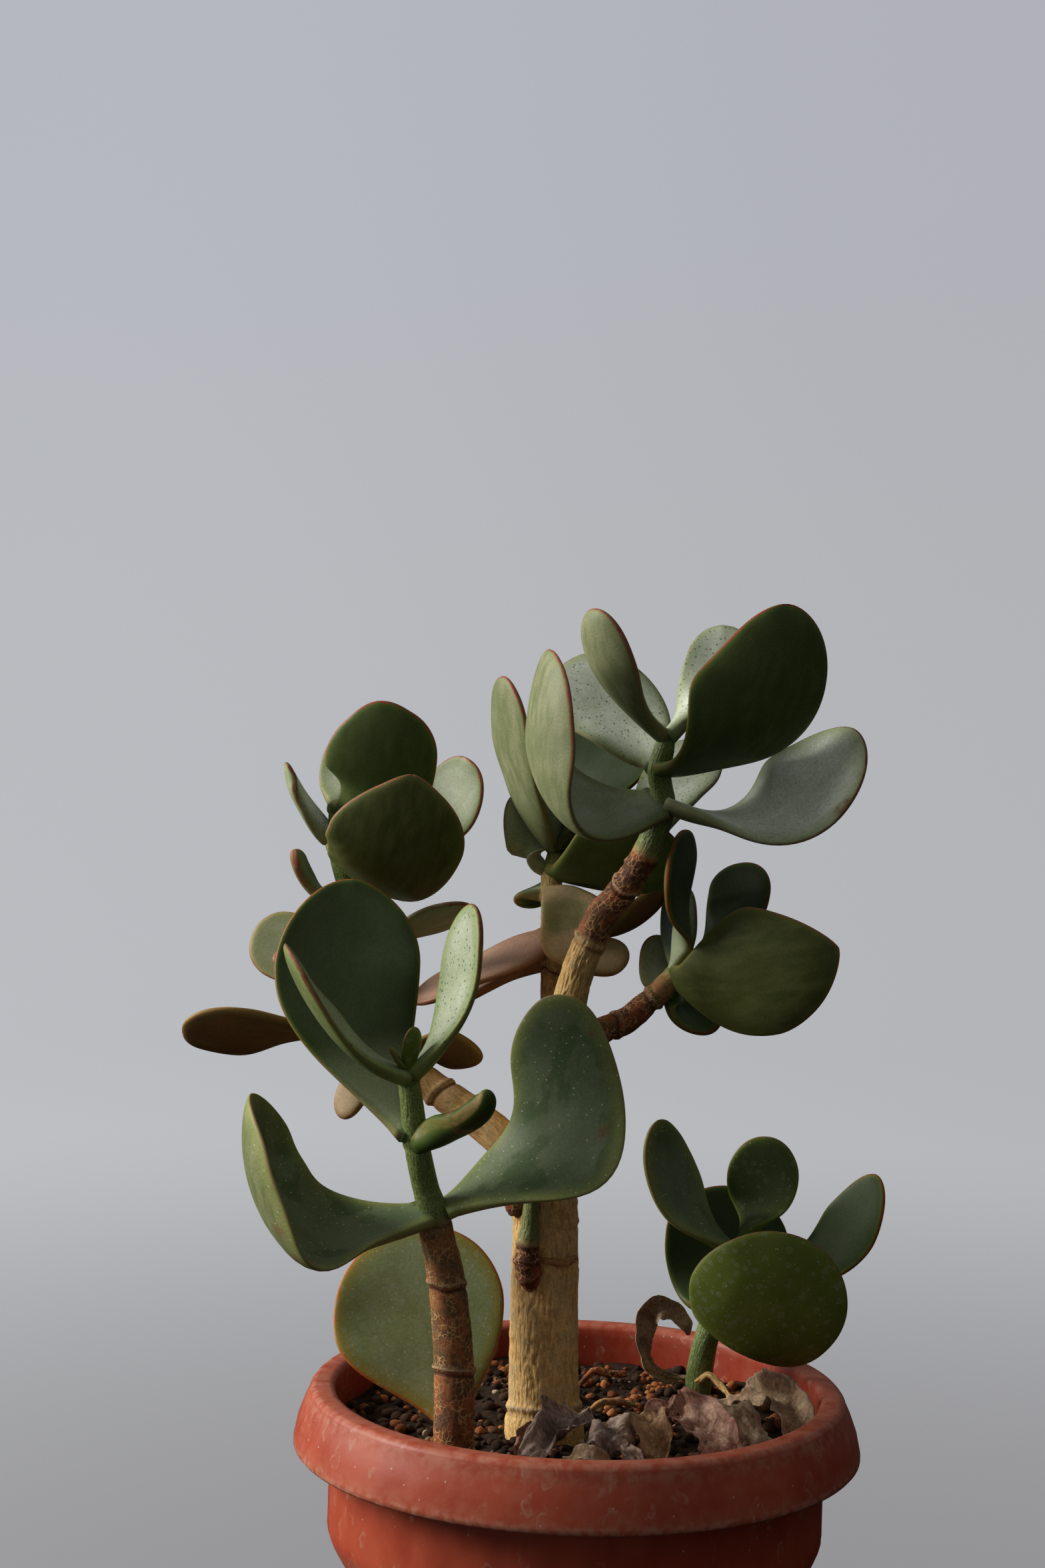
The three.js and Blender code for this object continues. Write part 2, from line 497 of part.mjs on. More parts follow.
      face: [0.88, 0.44, 0.15] }],
  ['leaf_middle_wide', MIDDLE_THIRD, LEAF_DARK,
    { elbow: [19.8, -21.8, -3.3], tip: [38.4, -23.4, 11.7], width: 31.9, neck: 0.24, waist: 0.98,
      widest: 0.6, point: 2.11, blunt: 0.51, swell: 0.21, swellAt: 0.48, base: [0.5, 0.04, 0.86],
      face: [-0.08, 0.87, 0.48] }],
  ['leaf_middle_shaded', MIDDLE_TOP, LEAF_DARK,
    { elbow: [10.5, 0.7, 13.8], tip: [24, 20.1, 42.9], width: 35.7, neck: 0.26, waist: 1.4, widest: 0.66,
      point: 2.37, blunt: 0.46, swell: -0.03, swellAt: 0.47, cup: 0.14, base: [-0.38, 0.05, 0.92],
      face: [-0.44, -0.82, 0.36] }],
  ['leaf_middle_left', MIDDLE_THIRD, LEAF_DARK,
    { elbow: [-8.5, 2.6, 3.2], tip: [-3.6, 5.5, 26.2], width: 22.5, neck: 0.2, waist: 0.87, widest: 0.63,
      point: 2.59, blunt: 0.45, swellAt: 0.43, cup: 0.1, base: [0.14, 0.04, 0.99],
      face: [-0.43, 0.88, 0.2] }],
  ['leaf_middle_drooping', MIDDLE_SECOND, LEAF_TAN,
    { elbow: [2.9, -11.5, 7], tip: [8.9, -17.1, -20.3], width: 23.4, neck: 0.34, waist: 1.41,
      widest: 0.61, point: 2.08, blunt: 0.45, swell: -0.17, swellAt: 0.41, cup: 0.14,
      base: [0.01, -0.29, 0.96], face: [0.12, -0.98, 0.15] }],
  ['leaf_middle_tan', MIDDLE_FOOT, LEAF_TAN,
    { elbow: [14.6, -2, -3.5], tip: [22.6, 3, 6.1], width: 14.4, neck: 0.25, waist: 0.82, widest: 0.53,
      point: 2.37, blunt: 0.52, swell: -0.03, swellAt: 0.49, cup: 0.11, base: [0.03, 0, 1],
      face: [0.38, -0.59, 0.71] }],
  ['leaf_middle_brown', MIDDLE_FIRST, LEAF_TAN,
    { elbow: [26.6, 6.4, -0.6], tip: [36.5, 5.8, 16.5], width: 17.8, neck: 0.27, waist: 0.88,
      widest: 0.65, blunt: 0.47, swell: 0.02, cup: 0.13, base: [-0.06, 0.01, 1],
      face: [-0.38, 0.45, 0.81] }],
  ['leaf_middle_small', MIDDLE_SECOND, LEAF_GREEN,
    { elbow: [-7.5, 10.5, 4.6], tip: [-6.5, 12.1, -2.3], width: 15.9, neck: 0.22, waist: 1.18,
      widest: 0.57, point: 2.13, blunt: 0.53, swell: 0.12, swellAt: 0.51, cup: 0.14,
      base: [-0.18, 0, 0.98], face: [-0.11, -0.46, 0.88] }],
  ['leaf_middle_pink', MIDDLE_FIRST, LEAF_PINK,
    { elbow: [-18.5, -7.3, -8.6], tip: [-45.6, -7, -20.2], width: 20.8, neck: 0.4, waist: 0.87,
      widest: 0.58, point: 2.06, blunt: 0.51, swell: -0.09, swellAt: 0.44, base: [0.64, -0.19, 0.74],
      face: [-0.29, -0.32, 0.9] }],
  ['leaf_middle_dark', MIDDLE_FOOT, LEAF_PINK,
    { elbow: [-17.1, 5.9, -4.4], tip: [-38.2, 7.5, -16.5], width: 12, waist: 0.92, widest: 0.64,
      blunt: 0.56, swell: 0.06, cup: 0.16, base: [-0.09, -0.01, 1], face: [-0.05, -0.34, 0.94] }],
  ['leaf_right_large', RIGHT_FIRST, LEAF_OLIVE,
    { elbow: [15.6, -28, -2.4], tip: [48.1, -29.9, 11.6], width: 40.1, neck: 0.19, waist: 1.24,
      widest: 0.56, point: 1.63, blunt: 0.72, swell: 0.05, swellAt: 0.51, cup: 0.14,
      base: [0.47, 0.86, 0.18], face: [0.05, 1, -0.02] }],
  ['leaf_right_upper', RIGHT_TOP, LEAF_DARK,
    { elbow: [20.6, 5.5, 7.2], tip: [19.7, 10.5, 31], width: 20.8, neck: 0.24, waist: 1.49, widest: 0.74,
      point: 2.16, blunt: 0.48, swell: -0.02, swellAt: 0.4, cup: 0.11, base: [0.02, 0, 1],
      face: [-0.42, -0.87, 0.27] }],
  ['leaf_right_narrow', RIGHT_FIRST, LEAF_GREEN,
    { elbow: [5.3, -2.8, 16.9], tip: [-1, -21.4, 43.8], width: 31.4, neck: 0.12, waist: 1.35,
      widest: 0.68, point: 2.14, blunt: 0.51, swell: -0.09, swellAt: 0.35, cup: 0.03,
      base: [0.6, -0.02, 0.8], face: [0.94, -0.33, -0.08] }],
  ['leaf_right_left', RIGHT_FIRST, LEAF_SILVER,
    { elbow: [-6.6, 18.5, -6.7], tip: [-2.2, 20.4, 11.9], width: 12.6, neck: 0.34, waist: 1.09,
      widest: 0.63, point: 2.8, blunt: 0.45, swell: 0.1, swellAt: 0.53, cup: 0.09,
      base: [-0.33, 0.06, 0.94], face: [0.11, -0.92, 0.37] }],
  ['leaf_right_slim', RIGHT_FIRST, LEAF_SILVER,
    { elbow: [4, 14, 9], tip: [3.5, 24, 28.5], width: 12.8, neck: 0.24, waist: 1.07, widest: 0.61,
      point: 2.41, blunt: 0.51, swell: -0.01, swellAt: 0.5, cup: 0.1, base: [0.01, 0, 1],
      face: [-0.49, -0.84, 0.26] }],
  ['leaf_right_low', RIGHT_FIRST, LEAF_DARK,
    { elbow: [-2.3, 0.9, -17.6], tip: [14.4, 3.7, -8.4], width: 19.3, neck: 0.31, waist: 1.46,
      widest: 0.64, point: 2.15, blunt: 0.51, swell: -0.09, swellAt: 0.46, cup: 0.03,
      base: [-0.08, 0.03, 1], face: [0.16, -0.65, 0.75] }],
  ['leaf_offshoot_front', OFFSHOOT_LOW, LEAF_DARK,
    { elbow: [2.4, -29.4, -20.1], tip: [25.6, -32.6, 29.1], width: 49.7, neck: 0.18, waist: 0.9,
      widest: 0.58, point: 2, blunt: 0.51, swell: 0.04, swellAt: 0.42, cup: 0.17,
      base: [0.23, 0.58, 0.78], face: [0.06, 1, 0.04] }],
  ['leaf_offshoot_back', OFFSHOOT_LOW, LEAF_DARK,
    { elbow: [1.5, 15.3, -3.5], tip: [6.2, 17.3, 36.9], width: 41.9, neck: 0.36, waist: 0.94,
      widest: 0.53, point: 2.42, blunt: 0.53, swell: 0.06, swellAt: 0.38, cup: 0.16, base: [-0.03, 0, 1],
      face: [0.05, -0.97, 0.24] }],
  ['leaf_offshoot_left', OFFSHOOT_MIDDLE, LEAF_SILVER,
    { elbow: [-27.2, -4.1, 21.9], tip: [-26.4, -8.2, 46.2], width: 26.6, waist: 0.84, widest: 0.55,
      point: 1.98, blunt: 0.49, swell: -0.02, cup: 0.15, base: [-0.26, -0.15, 0.96],
      face: [0.69, -0.65, 0.32] }],
  ['leaf_offshoot_right', OFFSHOOT_MIDDLE, LEAF_GREEN,
    { elbow: [31.6, -11, -9.8], tip: [43.8, -16.2, 29.6], width: 21.6, neck: 0.32, waist: 1.13,
      point: 1.86, blunt: 0.56, swell: 0.03, swellAt: 0.43, cup: 0.09, base: [-0.09, -0.01, 1],
      face: [-0.59, -0.72, 0.37] }],
  ['leaf_offshoot_top', OFFSHOOT_TOP, LEAF_DARK,
    { elbow: [8, 4.2, 9.2], tip: [8.6, 3.3, 35.4], width: 23.6, neck: 0.24, waist: 1.14, widest: 0.64,
      point: 1.89, blunt: 0.48, swell: 0.01, swellAt: 0.38, base: [-0.41, 0.05, 0.91],
      face: [-0.02, -0.99, 0.13] }],
];

// Dead leaves: crumpled sheets along [x, y, height over the soil, width], let down onto the soil

function deadPlacer(points, face, crumple) {
  const curve = new THREE.CatmullRomCurve3(
    points.map(([x, y, lift]) => new THREE.Vector3(x, y, SOIL_TOP + lift)), false, 'centripetal',
  );
  const last = points.length - 1;
  const upper = vector(face).normalize();
  return (across, along, side) => {
    const cell = Math.min(Math.floor(along * last), last - 1);
    const part = along * last - cell;
    const width = points[cell][3] * (1 - part) + points[cell + 1][3] * part;
    const tangent = curve.getTangent(along);
    const normal = upper.clone().addScaledVector(tangent, -upper.dot(tangent)).normalize();
    const sideways = new THREE.Vector3().crossVectors(tangent, normal);
    const wave = crumple * (Math.sin(9 * along + 3 * across) + 0.6 * Math.sin(17 * along - 5 * across));
    const rolled = crumple * 1.6 * across * across;
    return curve.getPoint(along)
      .addScaledVector(sideways, (across * width) / 2)
      .addScaledVector(normal, wave + rolled + (side * DEAD_THICKNESS) / 2);
  };
}

function deadLeaf(sheets) {
  let whole = null;
  for (const { points, face, crumple } of sheets) {
    const sheet = toSolid(blade(LEAF_COLUMNS, DEAD_ROWS, deadPlacer(points, face, crumple)));
    whole = whole ? whole.add(sheet) : sheet;
  }
  const geometry = toGeometry(whole);
  const position = geometry.attributes.position;
  let clearance = Infinity;
  for (let i = 0; i < position.count; i += 1) {
    const over = position.getZ(i) - soilHeight(position.getX(i), position.getY(i));
    clearance = Math.min(clearance, over);
  }
  return geometry.translate(0, 0, SOIL_CLEARANCE - clearance);
}

const DEAD_LEAVES = [
  ['dead_leaf_curled', DEAD_TAN, [{
    points: [[33, 27, 2, 4], [27, 26, 2, 4], [23, 26, 6, 4], [22, 25, 13, 5], [22.5, 24, 21, 10],
      [24, 22, 28, 13], [28, 20, 30, 9], [31.5, 20, 28, 5], [34, 21, 25, 3]],
    face: [0.4, -0.9, 0.2], crumple: 0.3 }]],
  ['dead_leaf_right', DEAD_TAN, [{
    points: [[45, 6, 7, 5], [51, 2, 9, 9], [58, -3, 12, 12], [63.5, -6, 14, 12], [66.5, -10, 10, 12],
      [67, -14, 2, 8]],
    face: [0.1, -0.6, 0.8], crumple: 0.6 }]],
  ['dead_leaf_left', DEAD_GREY, [{
    points: [[3, -34, 14, 4], [0, -36, 11, 9], [-6, -38, 7, 14], [-12, -41, 4, 12], [-18, -44, 1, 6]],
    face: [0.1, -0.5, 0.85], crumple: 0.8 }]],
  ['dead_leaf_front', DEAD_GREY, [{
    points: [[2, -52, 3, 7], [6, -48, 6, 13], [11, -44, 8, 15], [16, -40, 9, 9]],
    face: [-0.1, -0.6, 0.8], crumple: 0.8 }]],
  ['dead_leaf_cup', DEAD_TAN, [{
    points: [[24, -54, 1, 6], [23, -49, 6, 10], [22, -44, 12, 11], [23, -40, 14, 7]],
    face: [-0.3, -0.6, 0.8], crumple: 0.8 }]],
  ['dead_leaf_tall', DEAD_TAN, [{
    points: [[25, -22, 1, 5], [26, -24, 7, 6], [24, -27, 12, 6], [27, -30, 14, 5], [30, -29, 17, 3]],
    face: [-0.2, -0.8, 0.5], crumple: 0.5 }]],
  ['dead_leaf_pink', DEAD_TAN, [{
    points: [[30, -34, 12, 7], [35, -38, 13, 12], [41, -42, 8, 14], [46, -46, 2, 8]],
    face: [-0.2, -0.6, 0.8], crumple: 0.8 }]],
  ['dead_leaf_pale', DEAD_TAN, [{
    points: [[43, -24, 13, 5], [47, -27, 12, 11], [52, -31, 7, 14], [55, -35, 2, 9]],
    face: [-0.1, -0.6, 0.8], crumple: 0.8 }]],
];

// Assembly

addPiece('pot', buildPot(), TERRACOTTA, 0.5);
const STEM_FEET = [TRUNK.slice(0, 6), FRONT_STEM.slice(0, 5), OFFSHOOT_STEM.slice(0, 4)];
addPiece('soil', buildSoil(STEM_FEET), SOIL_BROWN, 1);

const LIMBS = [[TRUNK, 12], [LEFT_LIMB, 10], [RIGHT_LIMB, 8], [MIDDLE_LIMB, 8]];
const joined = (stems, clearance) => stems
  .map(([points, sides]) => toSolid(tube(points, sides, clearance)))
  .reduce((whole, stem) => whole.add(stem));

const TIP_NODE = node([-50.4, -52, 255], 0);
const TIP_LEAVES = [
  { elbow: [1, -4, 6], tip: [2, -4, 14], width: 6, thick: 2, face: [-0.3, 0.6, 0.2] },
  { elbow: [-2, -4, 3], tip: [-5, -5, 8], width: 4, thick: 1.8, face: [0.9, 0, 0.2] },
];
const tipLeaves = (clearance) => TIP_LEAVES
  .map((options) => leafPlacer(TIP_NODE, {
    ...options, width: options.width + 2 * clearance, thick: options.thick + 2 * clearance,
  }))
  .map((place) => toSolid(blade(LEAF_COLUMNS, TIP_ROWS, place)));
const withTips = (stem, clearance) => tipLeaves(clearance).reduce((whole, leaf) => whole.add(leaf), stem);
const frontStem = withTips(joined([[FRONT_STEM, 10]], 0), 0);

addPiece('trunk', leaned(toGeometry(joined(LIMBS, 0))), BARK, 0.9);
addPiece('stem_front', leaned(toGeometry(frontStem)), YOUNG_BARK, 0.8);
addPiece('stem_offshoot', leaned(toGeometry(joined([[OFFSHOOT_STEM, 8]], 0))), STEM_GREEN, 0.6);

// A leaf's foot is cut back from the stem that it clasps
const clearOfStems = withTips(joined([...LIMBS, [FRONT_STEM, 10], [OFFSHOOT_STEM, 8]], GAP), 1.5 * GAP);
for (const [name, from, colour, options] of LEAVES) {
  const leaf = toSolid(blade(LEAF_COLUMNS, LEAF_ROWS, leafPlacer(from, options))).subtract(clearOfStems);
  addPiece(name, leaned(toGeometry(leaf)), colour, 0.5);
}
for (const [name, colour, sheets] of DEAD_LEAVES) {
  addPiece(name, deadLeaf(sheets), colour, 0.95);
}

export default group;
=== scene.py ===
"""A potted silver dollar plant: the finished surfaces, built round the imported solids.

Shapes are worked out in millimetres, +Z up, from the middle of the pot's base, and become metres when a
mesh is made. The plant's own shapes are written upright and lean a little in the pot, as the real plant does.
"""

import logging
import math
from collections.abc import Iterable
from dataclasses import dataclass, field
from enum import Enum

import bmesh
import bpy
import numpy as np
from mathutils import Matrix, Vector


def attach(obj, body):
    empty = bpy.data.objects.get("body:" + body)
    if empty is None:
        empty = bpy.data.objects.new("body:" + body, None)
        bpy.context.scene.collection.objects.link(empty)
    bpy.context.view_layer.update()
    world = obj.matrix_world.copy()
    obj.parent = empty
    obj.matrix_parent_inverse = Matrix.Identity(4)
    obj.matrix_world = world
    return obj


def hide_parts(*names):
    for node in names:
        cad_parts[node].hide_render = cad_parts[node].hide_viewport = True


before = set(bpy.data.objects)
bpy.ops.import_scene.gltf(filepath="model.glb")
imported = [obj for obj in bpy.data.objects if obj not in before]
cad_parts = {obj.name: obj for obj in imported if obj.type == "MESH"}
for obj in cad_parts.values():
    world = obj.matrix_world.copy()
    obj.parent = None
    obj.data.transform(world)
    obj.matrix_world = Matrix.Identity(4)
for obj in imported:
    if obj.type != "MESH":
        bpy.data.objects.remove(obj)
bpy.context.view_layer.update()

LOG = logging.getLogger("silver_dollar_plant")
MM = 0.001
BODY = "root"

POT_HEIGHT = 150.0
RIM_RADIUS = 89.0
BASE_RADIUS = 57.0
WALL = 2.0
NECK_RADIUS = 77.7
WAIST_RADIUS = 72.2
SKIRT_HEIGHT = 18.3
SHOULDER_TOP = POT_HEIGHT - 43.5
SHOULDER_BASE = POT_HEIGHT - 54.0
SOIL_TOP = 137.0
PLANT_LEAN = math.radians(1.5)

Point = tuple[float, float, float]
Colour = tuple[float, float, float]
Array = np.ndarray


class Slot(Enum):
    """The pieces' material slots."""

    POT = "pot_plastic"
    SOIL = "soil"
    BARK = "bark"
    CORKY = "stem_corky"
    STEM = "stem_green"
    SILVER = "leaf_silver"
    GREEN = "leaf_green"
    DARK = "leaf_dark"
    OLIVE = "leaf_olive"
    STRESSED = "leaf_stressed"
    DEAD = "dead_leaf"


# Numbers: noise, steps, curves and sheets


class Clouds:
    """Smooth seeded noise from 0 to 1 in three dimensions, the same on every run."""

    SIZE = 32

    def __init__(self, seed: int) -> None:
        """Args:
            seed: picks the pattern.
        """
        self.table = np.random.default_rng(seed).random((self.SIZE,) * 3)

    def __call__(self, places: Array) -> Array:
        """Args:
            places: points, one a row, in units of the noise's own cells.

        Returns:
            One value from 0 to 1 for each point.
        """
        cell = np.floor(places).astype(int)
        part = places - cell
        part = part * part * (3 - 2 * part)
        total = np.zeros(len(places))
        for dx in (0, 1):
            for dy in (0, 1):
                for dz in (0, 1):
                    weight = (
                        np.where(dx, part[:, 0], 1 - part[:, 0])
                        * np.where(dy, part[:, 1], 1 - part[:, 1])
                        * np.where(dz, part[:, 2], 1 - part[:, 2])
                    )
                    corner = (cell + (dx, dy, dz)) % self.SIZE
                    total += weight * self.table[corner[:, 0], corner[:, 1], corner[:, 2]]
        return total

    def layered(self, places: Array, layers: int = 3) -> Array:
        """Sums finer and fainter layers of the noise.

        Args:
            places: points, one a row.
            layers: how many layers, each twice as fine and half as strong.

        Returns:
            One value from 0 to 1 for each point.
        """
        total, weight, whole = np.zeros(len(places)), 1.0, 0.0
        for layer in range(layers):
            total += weight * self(places * 2.0**layer + 11.3 * layer)
            whole += weight
            weight *= 0.5
        return total / whole


def smooth(value: Array | float, low: float = 0.0, high: float = 1.0) -> Array:
    """Args:
        value: what is compared with the two ends.
        low: where the step starts.
        high: where it ends.

    Returns:
        A soft step from 0 at low to 1 at high.
    """
    part = np.clip((np.asarray(value, float) - low) / (high - low), 0, 1)
    return part * part * (3 - 2 * part)


def unit(vectors: Array) -> Array:
    """Returns the vectors, one a row or a single one, at length 1."""
    return vectors / np.maximum(np.linalg.norm(vectors, axis=-1, keepdims=True), 1e-9)


def leaned(points: Array) -> Array:
    """Returns plant points, in millimetres, turned by the plant's lean about the middle of the soil."""
    x, y, z = points[:, 0], points[:, 1], points[:, 2] - SOIL_TOP
    lean = PLANT_LEAN
    return np.column_stack(
        [x * math.cos(lean) - z * math.sin(lean), y, x * math.sin(lean) + z * math.cos(lean) + SOIL_TOP]
    )


def through(points: Array, shares: Array) -> Array:
    """A smooth curve through points, each stretch taking an equal share of the way.

    Args:
        points: the points that the curve passes, one a row.
        shares: places along the whole curve, from 0 to 1.

    Returns:
        One point for each share.
    """
    ends = np.vstack([2 * points[0] - points[1], points, 2 * points[-1] - points[-2]])
    place = np.clip(shares, 0, 1) * (len(points) - 1)
    cell = np.minimum(place.astype(int), len(points) - 2)
    part = (place - cell)[:, None]
    a, b, c, d = (ends[cell + step] for step in range(4))
    before, here, after = (
        np.maximum(np.linalg.norm(q - p, axis=1, keepdims=True), 1e-6) ** 0.5
        for p, q in ((a, b), (b, c), (c, d))
    )
    leave = ((b - a) / before - (c - a) / (before + here) + (c - b) / here) * here
    reach = ((c - b) / here - (d - b) / (here + after) + (d - c) / after) * here
    squared = 3 * (c - b) - 2 * leave - reach
    cubed = 2 * (b - c) + leave + reach
    return b + leave * part + squared * part**2 + cubed * part**3


def directions(points: Array) -> Array:
    """Returns the unit direction of a polyline at each of its points."""
    return unit(np.gradient(points, axis=0))


def way_along(line: Array) -> Array:
    """Returns how far each point of a polyline lies from its start, along it."""
    return np.concatenate([[0], np.cumsum(np.linalg.norm(np.diff(line, axis=0), axis=1))])


def first_twice(values: Array) -> Array:
    """Returns the values with the first one repeated."""
    return np.concatenate([values[:1], values])


def circle_angles(sides: int) -> Array:
    """Returns the angles of the points of a circle of that many sides."""
    return np.arange(sides) / sides * 2 * math.pi


def both_faces(line: Array, sideways: Array, normal: Array, x: Array, offsets: Iterable[Array]) -> Array:
    """The points of a sheet's two faces, upper first.

    Args:
        line: the sheet's middle, one point a row.
        sideways: the direction across the sheet at each row.
        normal: the direction that its upper side looks at each row.
        x: places across the sheet, by row and column.
        offsets: how far each face lies along the normal, by row and column.

    Returns:
        The points, one a row.
    """
    middle = line[:, None, :] + sideways[:, None, :] * x[..., None]
    out = normal[:, None, :]
    return np.concatenate([(middle + out * offset[..., None]).reshape(-1, 3) for offset in offsets])


def flattened(x: Array, run: Array) -> Array:
    """Returns a sheet's places across and along, laid flat, one a row."""
    return np.column_stack([x.ravel(), np.broadcast_to(run[:, None], x.shape).ravel()])


def edge_distance(x: Array, run: Array) -> Array:
    """How far each place of a flattened sheet lies from its outline.

    Args:
        x: places across the sheet, by row and column.
        run: each row's way along the sheet.

    Returns:
        One distance for each place, in millimetres.
    """
    places = flattened(x, run)
    least = np.full(len(places), np.inf)
    for edge in (x[:, 0], x[:, -1]):
        line = np.column_stack([edge, run])
        for a, b in zip(line[:-1], line[1:]):
            step = b - a
            share = np.clip(((places - a) @ step) / max(step @ step, 1e-9), 0, 1)
            least = np.minimum(least, np.linalg.norm(places - a - share[:, None] * step, axis=1))
    return least


def as_field(*columns: Array) -> Array:
    """Returns up to three columns of values as a field of vectors, with zeros for those left out."""
    given = np.column_stack(columns)
    return np.pad(given, ((0, 0), (0, 3 - given.shape[1])))


# Meshes


def sheet_faces(rows: int, columns: int) -> list[tuple[int, ...]]:
    """Faces of a closed sheet of two faces, upper first, each of rows by columns squares.

    Args:
        rows: squares along the sheet.
        columns: squares across it.

    Returns:
        The faces, all facing out.
    """
    def at(side: int, row: int, column: int) -> int:
        """Returns the number of a grid point."""
        return (side * (rows + 1) + row) * (columns + 1) + column

    faces = []
    for a in range(rows):
        b = a + 1
        for c in range(columns):
            d = c + 1
            faces.append((at(0, a, c), at(0, a, d), at(0, b, d), at(0, b, c)))
            faces.append((at(1, a, c), at(1, b, c), at(1, b, d), at(1, a, d)))
        faces.append((at(0, a, 0), at(0, b, 0), at(1, b, 0), at(1, a, 0)))
        faces.append((at(0, a, columns), at(1, a, columns), at(1, b, columns), at(0, b, columns)))
    for c in range(columns):
        d = c + 1
        faces.append((at(0, 0, c), at(1, 0, c), at(1, 0, d), at(0, 0, d)))
        faces.append((at(0, rows, c), at(0, rows, d), at(1, rows, d), at(1, rows, c)))
    return faces


def wall_faces(rings: int, sides: int) -> list[tuple[int, ...]]:
    """Returns the faces between rings of points, with both ends left open."""
    faces = []
    for low in range(0, (rings - 1) * sides, sides):
        high = low + sides
        for side in range(sides):
            after = (side + 1) % sides
            faces.append((low + side, low + after, high + after, high + side))
    return faces


def tube_faces(rings: int, sides: int) -> list[tuple[int, ...]]:
    """Returns the faces of a tube of rings of points, closed by a flat cap at both ends."""
    faces = wall_faces(rings, sides)
    faces.append(tuple(reversed(range(sides))))
    faces.append(tuple((rings - 1) * sides + side for side in range(sides)))
    return faces


@dataclass
class Piece:
    """One mesh of the finished object, gathered in millimetres."""

    name: str
    slot: Slot
    points: Array
    faces: list[tuple[int, ...]]
    fields: dict[str, Array] = field(default_factory=dict)
    weld: float = 0.01

    def build(self, material: bpy.types.Material, replaces: Iterable[str] = ()) -> bpy.types.Object:
        """Makes the object, dresses it and sets it on its body.

        Args:
            material: the finish.
            replaces: the nodes that this piece stands for.

        Returns:
            The new object.
        """
        mesh = bpy.data.meshes.new(self.name)
        mesh.from_pydata((self.points * MM).tolist(), [], self.faces)
        for name, values in self.fields.items():
            layer = mesh.attributes.new(name, "FLOAT_VECTOR", "POINT")
            layer.data.foreach_set("vector", np.asarray(values, np.float32).ravel())
        if self.weld:
            work = bmesh.new()
            work.from_mesh(mesh)
            bmesh.ops.remove_doubles(work, verts=work.verts, dist=self.weld * MM)
            bmesh.ops.dissolve_degenerate(work, edges=work.edges, dist=1e-7)
            bmesh.ops.recalc_face_normals(work, faces=work.faces)
            work.to_mesh(mesh)
            work.free()
        mesh.polygons.foreach_set("use_smooth", np.ones(len(mesh.polygons), bool))
        mesh.materials.append(material)
        mesh.update()
        made = bpy.data.objects.new(self.name, mesh)
        bpy.context.scene.collection.objects.link(made)
        return settle(made, replaces)


def settle(made: bpy.types.Object, replaces: Iterable[str] = ()) -> bpy.types.Object:
    """Sets a finished object on the body and reports it.

    Args:
        made: the object.
        replaces: the nodes that it stands for.

    Returns:
        The same object.
    """
    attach(made, BODY)
    nodes = tuple(replaces)
    if nodes:
        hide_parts(*nodes)
    LOG.info("%s: %d faces", made.name, len(made.data.polygons))
    return made


# Materials


